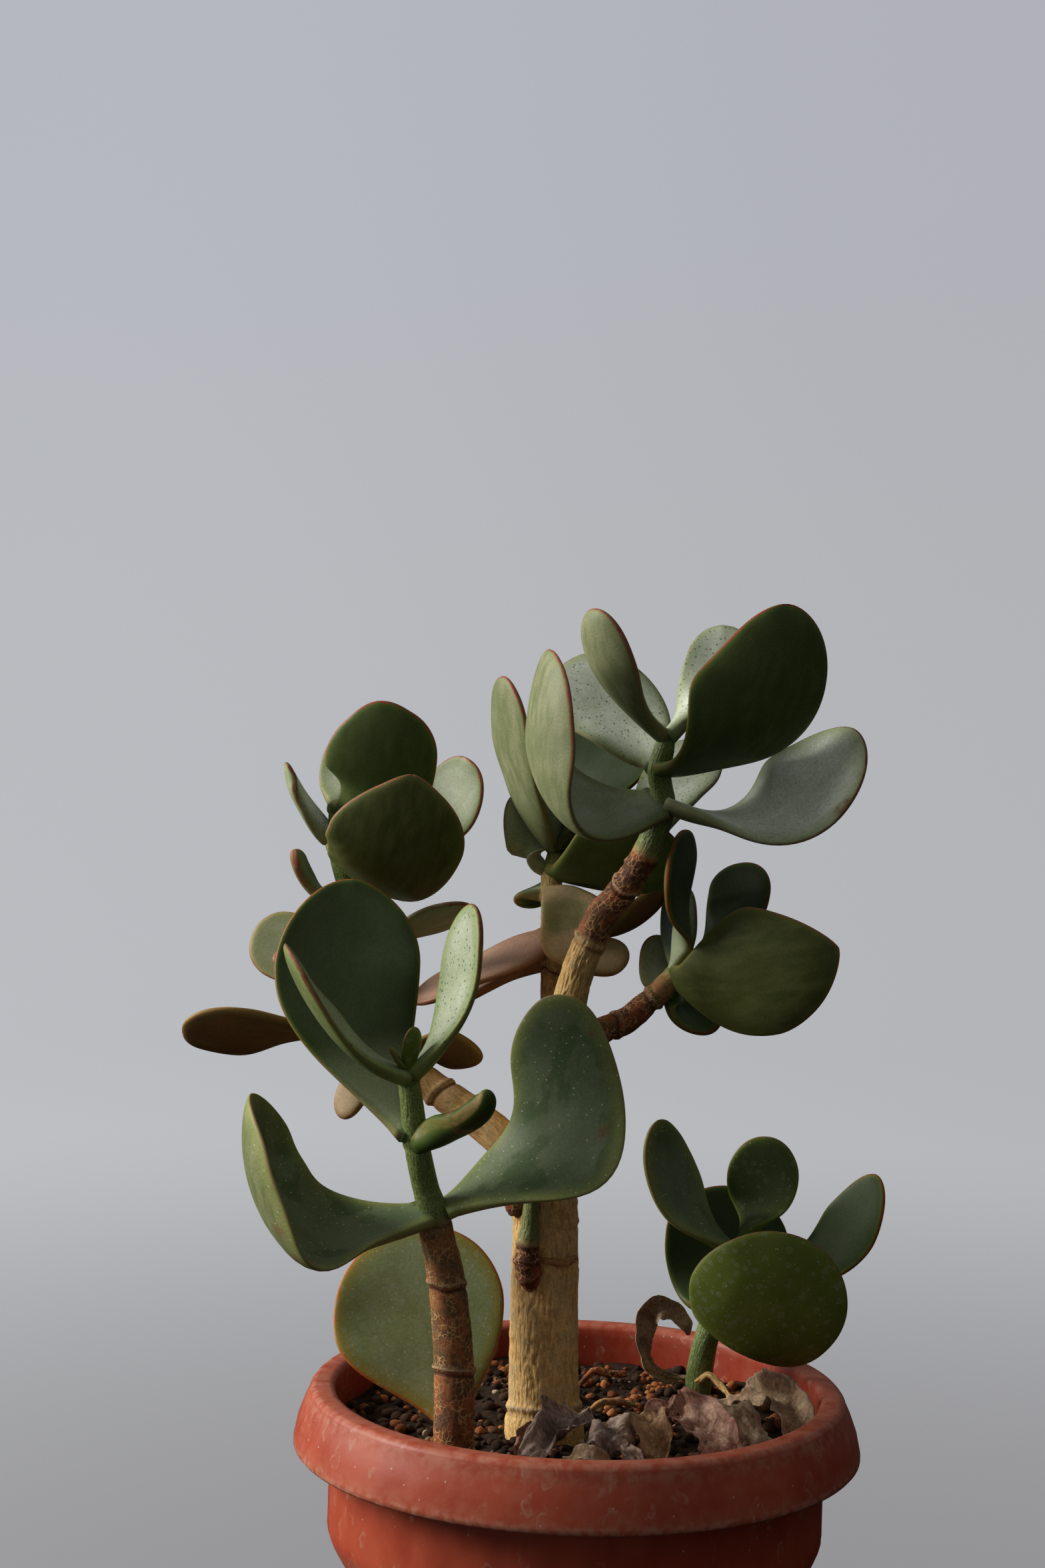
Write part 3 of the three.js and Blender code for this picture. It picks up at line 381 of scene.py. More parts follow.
class Graph:
    """Builds one material's nodes with short calls. A value is a socket, a number or a colour."""

    def __init__(self, name: str) -> None:
        """Args:
            name: the material's name.
        """
        self.material = bpy.data.materials.new(name)
        self.material.use_nodes = True
        self.tree = self.material.node_tree
        self.tree.nodes.clear()

    def feed(self, socket: bpy.types.NodeSocket, value: object) -> None:
        """Links or sets one input.

        Args:
            socket: the input.
            value: what goes in.
        """
        if isinstance(value, bpy.types.NodeSocket):
            self.tree.links.new(value, socket)
        elif isinstance(value, tuple) and len(value) == 3 and len(socket.default_value) == 4:
            socket.default_value = (*value, 1.0)
        else:
            socket.default_value = value

    def node(self, kind: str, inputs: dict, **settings: object) -> bpy.types.Node:
        """Args:
            kind: the node's type.
            inputs: values by input name or number.
            **settings: the node's own properties.

        Returns:
            The node.
        """
        made = self.tree.nodes.new("ShaderNode" + kind)
        for key, value in settings.items():
            setattr(made, key, value)
        for key, value in inputs.items():
            self.feed(made.inputs[key], value)
        return made

    def attribute(self, name: str) -> bpy.types.NodeSocket:
        """Returns a mesh field as a vector."""
        return self.node("Attribute", {}, attribute_name=name).outputs["Vector"]

    def parts(self, vector: bpy.types.NodeSocket) -> tuple[bpy.types.NodeSocket, ...]:
        """Returns a vector's three numbers."""
        return tuple(self.node("SeparateXYZ", {0: vector}).outputs)

    def times(self, a: object, b: object) -> bpy.types.NodeSocket:
        """Returns the product of two values, kept from 0 to 1."""
        return self.node("Math", {0: a, 1: b}, operation="MULTIPLY", use_clamp=True).outputs[0]

    def plus(self, a: object, b: object) -> bpy.types.NodeSocket:
        """Returns the sum of two values, kept from 0 to 1."""
        return self.node("Math", {0: a, 1: b}, operation="ADD", use_clamp=True).outputs[0]

    def step(
        self, value: object, low: float, high: float, start: float = 0.0, end: float = 1.0
    ) -> bpy.types.NodeSocket:
        """Returns a soft step of value, from start at low to end at high."""
        inputs = {0: value, 1: low, 2: high, 3: start, 4: end}
        return self.node("MapRange", inputs, interpolation_type="SMOOTHSTEP").outputs[0]

    def noise(
        self, place: object, scale: float, detail: float = 3.0, stretch: Point = (1, 1, 1)
    ) -> bpy.types.NodeSocket:
        """Returns noise from 0 to 1, its scale a millimetre, drawn out by stretch."""
        moved = self.node("Mapping", {"Vector": place, "Scale": stretch}).outputs[0]
        return self.node("TexNoise", {"Vector": moved, "Scale": scale, "Detail": detail}).outputs[0]

    def cells(
        self, place: object, scale: float, feature: str = "F1", stretch: Point = (1, 1, 1)
    ) -> tuple[bpy.types.NodeSocket, bpy.types.NodeSocket]:
        """Returns the distance and the colour of scattered cells, or the distance to their edge."""
        moved = self.node("Mapping", {"Vector": place, "Scale": stretch}).outputs[0]
        made = self.node("TexVoronoi", {"Vector": moved, "Scale": scale}, feature=feature)
        return made.outputs["Distance"], made.outputs.get("Color")

    def warped(self, place: object, scale: float, amount: float) -> bpy.types.NodeSocket:
        """Returns places pushed about by noise, by amount in millimetres."""
        push = self.node("TexNoise", {"Vector": place, "Scale": scale, "Detail": 2.0}).outputs["Color"]
        grown = self.node("VectorMath", {0: push, 3: amount}, operation="SCALE").outputs[0]
        return self.node("VectorMath", {0: place, 1: grown}, operation="ADD").outputs[0]

    def mix(self, share: object, a: object, b: object, blend: str = "MIX") -> bpy.types.NodeSocket:
        """Returns colour a with a share of colour b."""
        inputs = {0: share, 6: a, 7: b}
        return self.node("Mix", inputs, data_type="RGBA", blend_type=blend).outputs[2]

    def mottled(self, colour: object, share: object, dark: float, light: float) -> bpy.types.NodeSocket:
        """Returns the colour made darker or lighter, from dark where share is 0 to light where it is 1."""
        return self.mix(1.0, colour, self.mix(share, (dark,) * 3, (light,) * 3), "MULTIPLY")

    def surface(
        self, colour: object, roughness: object, height: object, relief: float, fixed: dict | None = None
    ) -> bpy.types.Material:
        """Ends the material in one shader.

        Args:
            colour: the base colour.
            roughness: the roughness.
            height: the fine relief, from 0 to 1.
            relief: how tall that relief is, in millimetres.
            fixed: the shader's other inputs, by name.

        Returns:
            The material.
        """
        bump = self.node("Bump", {"Height": height, "Distance": relief * MM, "Strength": 1.0})
        inputs = {"Base Color": colour, "Roughness": roughness, "Normal": bump.outputs[0], **(fixed or {})}
        shader = self.node("BsdfPrincipled", inputs)
        end = self.node("OutputMaterial", {})
        self.tree.links.new(shader.outputs[0], end.inputs["Surface"])
        return self.material


@dataclass(frozen=True)
class LeafFinish:
    """The look of one sort of leaf. Shares go from 0 to 1 and sizes are millimetres."""

    name: str
    slot: Slot
    green: Colour = (0.09, 0.13, 0.045)
    silver: Colour = (0.19, 0.23, 0.14)
    lower: Colour = (0.085, 0.12, 0.035)
    lower_pale: Colour = (0.14, 0.17, 0.07)
    # Painted light: a paler band along each leaf's edge stands for the glow of light shining through the thin
    # margin.
    painted_glow: Colour = (0.15, 0.21, 0.05)
    rim: Colour = (0.26, 0.06, 0.035)
    blush: Colour = (0.3, 0.15, 0.09)
    scar: Colour = (0.22, 0.13, 0.06)
    # Painted light: a paler colour at the stalk end, standing for the key light on the leaf's curved foot.
    painted_light_foot_colour: Colour = (0.56, 0.62, 0.42)
    bloom: float = 0.6
    rim_width: float = 0.55
    rim_low: float = 0.25
    # How far in from the edge the painted glow band reaches, in millimetres.
    painted_glow_width: float = 2.2
    blushed: float = 0.0
    dots: float = 0.0
    specks: float = 0.0
    marks: float = 0.0
    rubbed: float = 0.0
    # How strongly that painted light shows at the foot.
    foot: float = 0.0
    glow: float = 0.0
    roughness: float = 0.5

    GLOW_REACH = 0.004

    def material(self) -> bpy.types.Material:
        """Returns the finish as a material, from the leaf's own fields."""
        g = Graph("finish_" + self.name)
        place = g.attribute("leaf_place")
        edge, side, along = g.parts(g.attribute("leaf_form"))
        scarred, spotted, _ = g.parts(g.attribute("leaf_wear"))
        cloud = g.noise(place, 0.075, 4.0)
        streak = g.noise(place, 0.22, 4.0, (1.6, 0.5, 1))
        grain = g.noise(place, 1.6, 3.0)
        wax = g.times(g.step(edge, 0.6, 5.5, 0.15, 1.0), g.step(cloud, 0.25, 0.65, 0.45, 1.0))
        wax = g.times(wax, g.step(streak, 0.3, 0.7, 0.75, 1.0))
        upper = g.mix(g.times(wax, self.bloom), self.green, self.silver)
        lower = g.mix(g.times(g.step(streak, 0.3, 0.7), g.step(cloud, 0.2, 0.7)), self.lower, self.lower_pale)
        if self.rubbed:
            bare = g.noise(place, 0.11, 5.0, (1.0, 0.6, 1.0))
            upper = g.mix(g.step(bare, 0.52, 0.6, 0.0, self.rubbed), upper, self.green)
        colour = g.mix(side, lower, upper)
        # Painted light: the stalk end made paler, as if lit by the key.
        if self.foot:
            colour = g.mix(g.step(along, 0.12, 0.42, self.foot, 0.0), colour, self.painted_light_foot_colour)
        # Painted light: the edge band, the glow of light through the margin, painted into the colour.
        painted_glow_share = g.times(g.step(edge, 0.3, self.painted_glow_width, 0.75, 0.0), g.step(cloud, 0.2, 0.6, 0.4, 1.0))
        colour = g.mix(painted_glow_share, colour, self.painted_glow)
        if self.blushed:
            least, most = 0.62 - 0.35 * self.blushed, 0.8 - 0.3 * self.blushed
            flush = g.step(g.noise(place, 0.045, 3.0), least, most)
            colour = g.mix(flush, colour, self.blush)
        if self.dots:
            far, tone = g.cells(place, 0.66, "F1", (1.25, 0.8, 1.0))
            size = g.step(g.parts(tone)[0], 0.0, 1.0, 0.1, 0.2)
            dot = g.node("MapRange", {0: far, 1: size, 2: g.plus(size, 0.09), 3: 1.0, 4: 0.0}).outputs[0]
            dot = g.times(dot, g.times(side, g.times(spotted, self.dots)))
            colour = g.mix(dot, colour, (0.04, 0.07, 0.045))
        if self.specks:
            far, tone = g.cells(place, 0.55)
            chosen = g.step(g.parts(tone)[1], 0.4, 0.6)
            speck = g.times(g.step(far, 0.08, 0.2, 1.0, 0.0), chosen)
            colour = g.mix(g.times(speck, self.specks), colour, (0.5, 0.52, 0.34))
        if self.marks:
            bent = g.warped(place, 0.5, 1.4)
            far, tone = g.cells(bent, 0.36)
            chosen = g.step(g.parts(tone)[0], 0.35, 0.6)
            ring = g.times(g.step(far, 0.2, 0.3, 0.0, 0.6), g.step(far, 0.3, 0.42, 1.0, 0.0))
            inside = g.step(far, 0.05, 0.4, 0.6, 0.0)
            stain = g.times(g.plus(ring, inside), chosen)
            colour = g.mix(g.times(stain, self.marks), colour, (0.34, 0.38, 0.25))
        uneven = g.step(g.noise(place, 0.3, 3.0), 0.3, 0.62, 0.35, 1.0)
        line = g.times(g.step(edge, self.rim_width * 0.35, self.rim_width, 1.0, 0.0), uneven)
        line = g.times(line, g.step(along, 0.3, 0.9, self.rim_low, 1.0))
        colour = g.mix(line, colour, self.rim)
        scab = g.times(scarred, g.step(g.noise(place, 0.7, 4.0), 0.25, 0.6, 0.55, 1.0))
        colour = g.mix(scab, colour, self.scar)
        colour = g.mottled(colour, g.step(grain, 0.25, 0.75), 0.86, 1.12)
        roughness = g.step(streak, 0.2, 0.8, self.roughness - 0.07, self.roughness + 0.1)
        height = g.plus(g.times(grain, 0.5), g.times(scab, 0.5))
        fixed = {
            "Specular IOR Level": 0.22,
            "Subsurface Weight": self.glow,
            "Subsurface Scale": self.GLOW_REACH,
        }
        return g.surface(colour, roughness, height, 0.07, fixed)


SILVER = LeafFinish(
    "young_silver", Slot.SILVER, green=(0.19, 0.25, 0.1), silver=(0.43, 0.48, 0.35),
    lower=(0.14, 0.18, 0.06), lower_pale=(0.23, 0.27, 0.12), bloom=1.0, dots=0.9,
    painted_glow=(0.24, 0.32, 0.08), painted_glow_width=3.0, rim=(0.24, 0.05, 0.035),
)
FROST = LeafFinish(
    "frosted_silver", Slot.SILVER, green=(0.36, 0.42, 0.25), silver=(0.74, 0.8, 0.7),
    lower=(0.26, 0.31, 0.17), lower_pale=(0.4, 0.45, 0.28), bloom=1.0, dots=0.7, painted_glow=(0.3, 0.36, 0.16),
    rim=(0.24, 0.06, 0.04),
)
PALE = LeafFinish(
    "pale_bloom", Slot.SILVER, green=(0.17, 0.21, 0.1), silver=(0.38, 0.42, 0.3),
    lower=(0.17, 0.2, 0.09), lower_pale=(0.3, 0.31, 0.17), bloom=0.95, painted_glow=(0.23, 0.27, 0.09),
    rim=(0.34, 0.08, 0.055), rim_width=0.7, dots=0.25,
)
SLATE = LeafFinish(
    "shaded_slate", Slot.SILVER, green=(0.09, 0.11, 0.1), silver=(0.14, 0.16, 0.155),
    lower=(0.1, 0.12, 0.08), lower_pale=(0.15, 0.17, 0.13), rim=(0.2, 0.1, 0.07),
)
FADED = LeafFinish(
    "faded_green", Slot.OLIVE, green=(0.2, 0.22, 0.09), silver=(0.3, 0.33, 0.19),
    lower=(0.18, 0.2, 0.08), lower_pale=(0.28, 0.3, 0.15), painted_glow=(0.34, 0.3, 0.12), bloom=0.9,
    rim=(0.34, 0.12, 0.06), rim_low=0.8,
)
DUSTY = LeafFinish(
    "dusty_teal", Slot.SILVER, green=(0.08, 0.13, 0.05), silver=(0.19, 0.235, 0.135),
    lower=(0.15, 0.18, 0.07), lower_pale=(0.27, 0.29, 0.14), bloom=0.9, specks=1.0,
    rim=(0.32, 0.24, 0.09), painted_glow=(0.3, 0.33, 0.1), painted_glow_width=6.0, rubbed=0.75,
)
ADULT = LeafFinish(
    "adult_green", Slot.GREEN, green=(0.045, 0.075, 0.02), silver=(0.085, 0.115, 0.055),
    lower=(0.09, 0.13, 0.035), lower_pale=(0.16, 0.2, 0.08), bloom=0.8, painted_glow=(0.14, 0.2, 0.03),
    painted_glow_width=1.6, rim=(0.4, 0.1, 0.03), foot=0.75,
)
BRIGHT = LeafFinish(
    "bright_green", Slot.GREEN, green=(0.055, 0.09, 0.014), silver=(0.075, 0.12, 0.03),
    lower=(0.04, 0.07, 0.01), lower_pale=(0.065, 0.1, 0.02), bloom=0.4, painted_glow=(0.09, 0.13, 0.02),
    painted_glow_width=1.5, rim=(0.34, 0.22, 0.08), rim_width=0.3,
)
DEEP = LeafFinish(
    "deep_green", Slot.DARK, green=(0.055, 0.09, 0.025), silver=(0.1, 0.14, 0.065),
    lower=(0.07, 0.1, 0.025), lower_pale=(0.1, 0.14, 0.04), painted_glow=(0.12, 0.2, 0.03), bloom=0.6,
    rim=(0.34, 0.06, 0.035), rim_width=0.75,
)
# Painted shade: a near-black green for leaves that sit deep in the shade of others, darker than their own
# colour.
PAINTED_SHADE = LeafFinish(
    "painted_shade_green", Slot.DARK, green=(0.02, 0.035, 0.008), silver=(0.06, 0.075, 0.045),
    lower=(0.04, 0.06, 0.014), lower_pale=(0.06, 0.08, 0.022), painted_glow=(0.05, 0.09, 0.012), bloom=0.35,
)
OLIVE = LeafFinish(
    "olive", Slot.OLIVE, green=(0.1, 0.12, 0.035), silver=(0.16, 0.18, 0.09), lower=(0.075, 0.09, 0.02),
    lower_pale=(0.14, 0.155, 0.05), painted_glow=(0.17, 0.19, 0.045), bloom=0.6, rim=(0.33, 0.13, 0.07),
    rim_width=0.8,
)
LIME = LeafFinish(
    "yellow_green", Slot.OLIVE, green=(0.2, 0.23, 0.06), silver=(0.31, 0.36, 0.19),
    lower=(0.15, 0.16, 0.035), lower_pale=(0.22, 0.23, 0.07), painted_glow=(0.38, 0.29, 0.05), painted_glow_width=6.5,
    rim=(0.45, 0.14, 0.03), rim_width=1.1, rim_low=1.0, bloom=0.95, marks=0.7, specks=1.0, glow=0.3,
)
LUSH = LeafFinish(
    "lush_green", Slot.DARK, green=(0.085, 0.13, 0.03), lower=(0.13, 0.18, 0.025),
    lower_pale=(0.18, 0.22, 0.045), painted_glow=(0.15, 0.22, 0.03), bloom=0.4, marks=0.45,
    rim=(0.2, 0.11, 0.035), specks=0.55,
)
TAN = LeafFinish(
    "fading_tan", Slot.STRESSED, green=(0.52, 0.37, 0.2), silver=(0.68, 0.5, 0.32),
    lower=(0.42, 0.29, 0.16), lower_pale=(0.56, 0.4, 0.24), painted_glow=(0.33, 0.2, 0.07), bloom=0.8,
    rim=(0.3, 0.13, 0.05), blushed=0.3, blush=(0.25, 0.25, 0.1),
)
BROWN = LeafFinish(
    "fading_brown", Slot.STRESSED, green=(0.16, 0.13, 0.05), silver=(0.22, 0.18, 0.1),
    lower=(0.17, 0.11, 0.045), lower_pale=(0.24, 0.17, 0.08), painted_glow=(0.3, 0.2, 0.06), bloom=0.5,
    rim=(0.38, 0.22, 0.07), rim_width=1.0, rim_low=0.9, blushed=0.35, blush=(0.24, 0.12, 0.05),
)
PINK = LeafFinish(
    "fading_pink", Slot.STRESSED, green=(0.58, 0.34, 0.23), silver=(0.74, 0.47, 0.35),
    lower=(0.16, 0.12, 0.06), lower_pale=(0.24, 0.18, 0.1), painted_glow=(0.4, 0.19, 0.1), bloom=0.9,
    rim=(0.35, 0.12, 0.06), blushed=0.3, blush=(0.42, 0.22, 0.14), roughness=0.4,
)
LEAF_FINISHES = (
    SILVER, FROST, PALE, SLATE, FADED, DUSTY, ADULT, BRIGHT, DEEP, PAINTED_SHADE, OLIVE, LIME, LUSH, TAN, BROWN,
    PINK,
)


# Leaves


@dataclass(frozen=True)
class Joint:
    """A place on a stem that leaves grow from, with the stem's radius there."""

    at: Point
    radius: float


@dataclass(frozen=True)
class Patch:
    """A scar on a leaf: its place across (-1 to 1) and along (0 to 1), and its size in millimetres."""

    across: float
    along: float
    size: float
    amount: float = 1.0


@dataclass(frozen=True)
class Leaf:
    """One thick leaf. It leaves its joint towards the elbow and curves to the tip, both given from the joint.

    base and face are the ways its upper side looks, at the stalk and in the blade. swell is the share by
    which the outline is fuller on one side, round the place swell_at.
    """

    name: str
    joint: Joint
    finish: LeafFinish
    elbow: Point
    tip: Point
    width: float
    face: Point
    base: Point = (0, 0, 1)
    neck: float = 0.3
    waist: float = 1.2
    widest: float = 0.62
    point: float = 2.2
    blunt: float = 0.5
    swell: float = 0.0
    swell_at: float = 0.45
    cup: float = 0.12
    thick: float = 4.0
    roll: float = 0.7
    wave: float = 0.5
    nib: float = 0.0
    dotted: float = 1.0
    patches: tuple[Patch, ...] = ()

    ROWS = 48
    COLUMNS = 28
    SWELL_REACH = 0.25
    STALK_GAP = 0.4
    FOOT = 2.6
    FIRST_SEED = 400

    def spine(self, shares: Array) -> tuple[Array, Array, float]:
        """Args:
            shares: places along the leaf, from 0 at the stalk to 1 at the tip.

        Returns:
            Points and directions along the leaf's middle, and its length.
        """
        centre = np.array(self.joint.at, float)
        elbow = np.array(self.elbow, float)
        start = centre + unit(elbow) * (self.joint.radius + self.STALK_GAP)
        bend, end = centre + elbow, centre + np.array(self.tip, float)
        t = np.linspace(0, 1, 201)[:, None]
        line = (1 - t) ** 2 * start + 2 * t * (1 - t) * bend + t * t * end
        run = way_along(line)
        here = np.interp(np.clip(shares, 0, 1) * run[-1], run, t[:, 0])[:, None]
        points = (1 - here) ** 2 * start + 2 * here * (1 - here) * bend + here * here * end
        return points, unit(2 * (1 - here) * (bend - start) + 2 * here * (end - bend)), float(run[-1])

    def half_width(self, along: Array, clouds: Clouds) -> Array:
        """Returns the outline's half width, a little uneven, at each place along the leaf."""
        body = np.minimum(along / self.widest, 1)
        fill = self.neck + (1 - self.neck) * (1 - (1 - body) ** 2) ** self.waist
        taper = np.maximum(1 - self.past_widest(along) ** self.point, 0) ** self.blunt
        uneven = clouds(as_field(along * 7)) - 0.5
        return self.width / 2 * fill * taper * (1 + 0.02 * uneven)

    def past_widest(self, along: Array) -> Array:
        """Returns how far each place lies from the widest one, 0, to the tip, 1."""
        return np.maximum((along - self.widest) / (1 - self.widest), 0)

    def normals(self, along: Array, tangent: Array) -> Array:
        """Returns the way that the upper side looks, turning from base to face along the leaf."""
        lift = smooth(along / self.roll)[:, None]
        facing = (1 - lift) * unit(np.array(self.base, float)) + lift * unit(np.array(self.face, float))
        return unit(facing - (facing * tangent).sum(1, keepdims=True) * tangent)

    def depths(self, along: Array, across: Array) -> Array:
        """Returns half the leaf's thickness, by place along and across it."""
        middle = self.thick / 2 * (1.25 - 0.25 * smooth(along / 0.4))
        middle = middle * np.sqrt(np.maximum(1 - self.past_widest(along) ** 4, 0))
        return middle[:, None] * np.maximum(1 - across**2, 0)[None, :] ** 0.35

    def piece(self, seed: int) -> Piece:
        """Builds the leaf's mesh and the fields that its finish reads.

        Args:
            seed: tells its pattern from those of the other leaves.

        Returns:
            The piece.
        """
        clouds = Clouds(self.FIRST_SEED + seed)
        along = 1 - (1 - np.linspace(0, 1, self.ROWS + 1)) ** 1.5
        half = self.half_width(along, clouds) * (1 + 0.18 * np.exp(-along / 0.04))
        line, tangent, length = self.spine(along)
        normal = self.normals(along, tangent)
        line = line + tangent * (self.nib * smooth(along, 0.93, 1.0))[:, None]
        line = np.vstack([line[0] - tangent[0] * self.FOOT, line])
        tangent, normal, along, half = (first_twice(values) for values in (tangent, normal, along, half))
        across = np.sin(math.pi / 2 * np.linspace(-1, 1, self.COLUMNS + 1))
        fuller = self.swell * np.exp(-(((along - self.swell_at) / self.SWELL_REACH) ** 2))
        x = across[None, :] * half[:, None] * (1 + fuller[:, None] * np.sign(across)[None, :])
        run = along * length
        grid = flattened(x, run)
        cells = np.column_stack([grid[:, 0] / 11 + 5, grid[:, 1] / 13, np.full(len(grid), seed * 1.7)])
        ripple = (clouds(cells) - 0.5).reshape(x.shape) * 2 * self.wave * smooth(along, 0.15, 0.5)[:, None]
        ripple = ripple * (0.35 + np.abs(across))[None, :]
        sheet = 2 * self.cup * x * x / self.width + ripple
        depth = self.depths(along, across)
        points = both_faces(line, np.cross(tangent, normal), normal, x, (sheet + depth, sheet - depth))
        places = np.tile(grid, (2, 1))
        upper = np.repeat((1.0, 0.0), len(grid))
        upper[np.tile(np.abs(across) > 0.999, 2 * len(along))] = 0.6
        shares = np.tile(np.repeat(along, len(across)), 2)
        fields = {
            "leaf_place": np.column_stack([places, 60.0 * seed + 9 * upper]),
            "leaf_form": np.column_stack([np.tile(edge_distance(x, run), 2), upper, shares]),
            "leaf_wear": as_field(self.scars(places, length, clouds), self.dotting(shares)),
        }
        faces = sheet_faces(self.ROWS + 1, self.COLUMNS)
        return Piece(self.name + "_blade", self.finish.slot, leaned(points), faces, fields)

    def dotting(self, shares: Array) -> Array:
        """Returns how strongly dots show along the leaf."""
        return self.dotted * smooth(shares, 0.02, 0.2)

    def scars(self, places: Array, length: float, clouds: Clouds) -> Array:
        """Returns the share of scarred skin, from 0 to 1, at each place of the flattened leaf."""
        total = np.zeros(len(places))
        rough = clouds.layered(as_field(places / 2.5 + 3))
        for patch in self.patches:
            centre = np.array([patch.across * self.width / 2, patch.along * length])
            far = np.linalg.norm(places - centre, axis=1) + (rough - 0.5) * patch.size * 1.2
            total = np.maximum(total, patch.amount * smooth(-far, -patch.size, -patch.size * 0.45))
        return total


FRONT_LOW = Joint((-42.7, -50, 213.4), 4.8)
FRONT_MIDDLE = Joint((-48.2, -51, 235.5), 3.9)
FRONT_TOP = Joint((-50.2, -52, 253.4), 3.3)
FRONT_FOOT = Joint((-37.6, -46.4, 142), 5.2)
FRONT_TIP = Joint((-50.4, -52, 255), 0.0)
LEFT_FIRST = Joint((-61.5, 8, 260.7), 4.4)
LEFT_SECOND = Joint((-68.2, 11, 289.3), 3.7)
LEFT_THIRD = Joint((-72.4, 12, 304.2), 3.5)
LEFT_FOURTH = Joint((-76.1, 12, 318.2), 3.3)
LEFT_FIFTH = Joint((-76.5, 12.5, 325), 3.1)
LEFT_TOP = Joint((-76.8, 13, 331), 2.7)
TOP_FIRST = Joint((22.9, -25, 323), 4.2)
TOP_SECOND = Joint((25.9, -26, 333.5), 3.9)
TOP_THIRD = Joint((24.6, -27, 343.7), 3.7)
TOP_FOURTH = Joint((27, -28, 353), 2.8)
MIDDLE_FOOT = Joint((-7.1, 15, 282), 3.8)
MIDDLE_FIRST = Joint((-7, 16, 290), 3.8)
MIDDLE_SECOND = Joint((-7.4, 18, 301.8), 3.6)
MIDDLE_THIRD = Joint((-7.4, 20, 311), 3.4)
MIDDLE_TOP = Joint((-6, 22, 317.5), 2.8)
RIGHT_FIRST = Joint((30.5, -2.3, 278.5), 3.6)
RIGHT_TOP = Joint((33.8, -1.3, 283.4), 1.8)
OFFSHOOT_LOW = Joint((47.3, 32, 166.5), 3.7)
OFFSHOOT_MIDDLE = Joint((54, 33, 183.4), 3)
OFFSHOOT_TOP = Joint((55.3, 33, 186.8), 1)

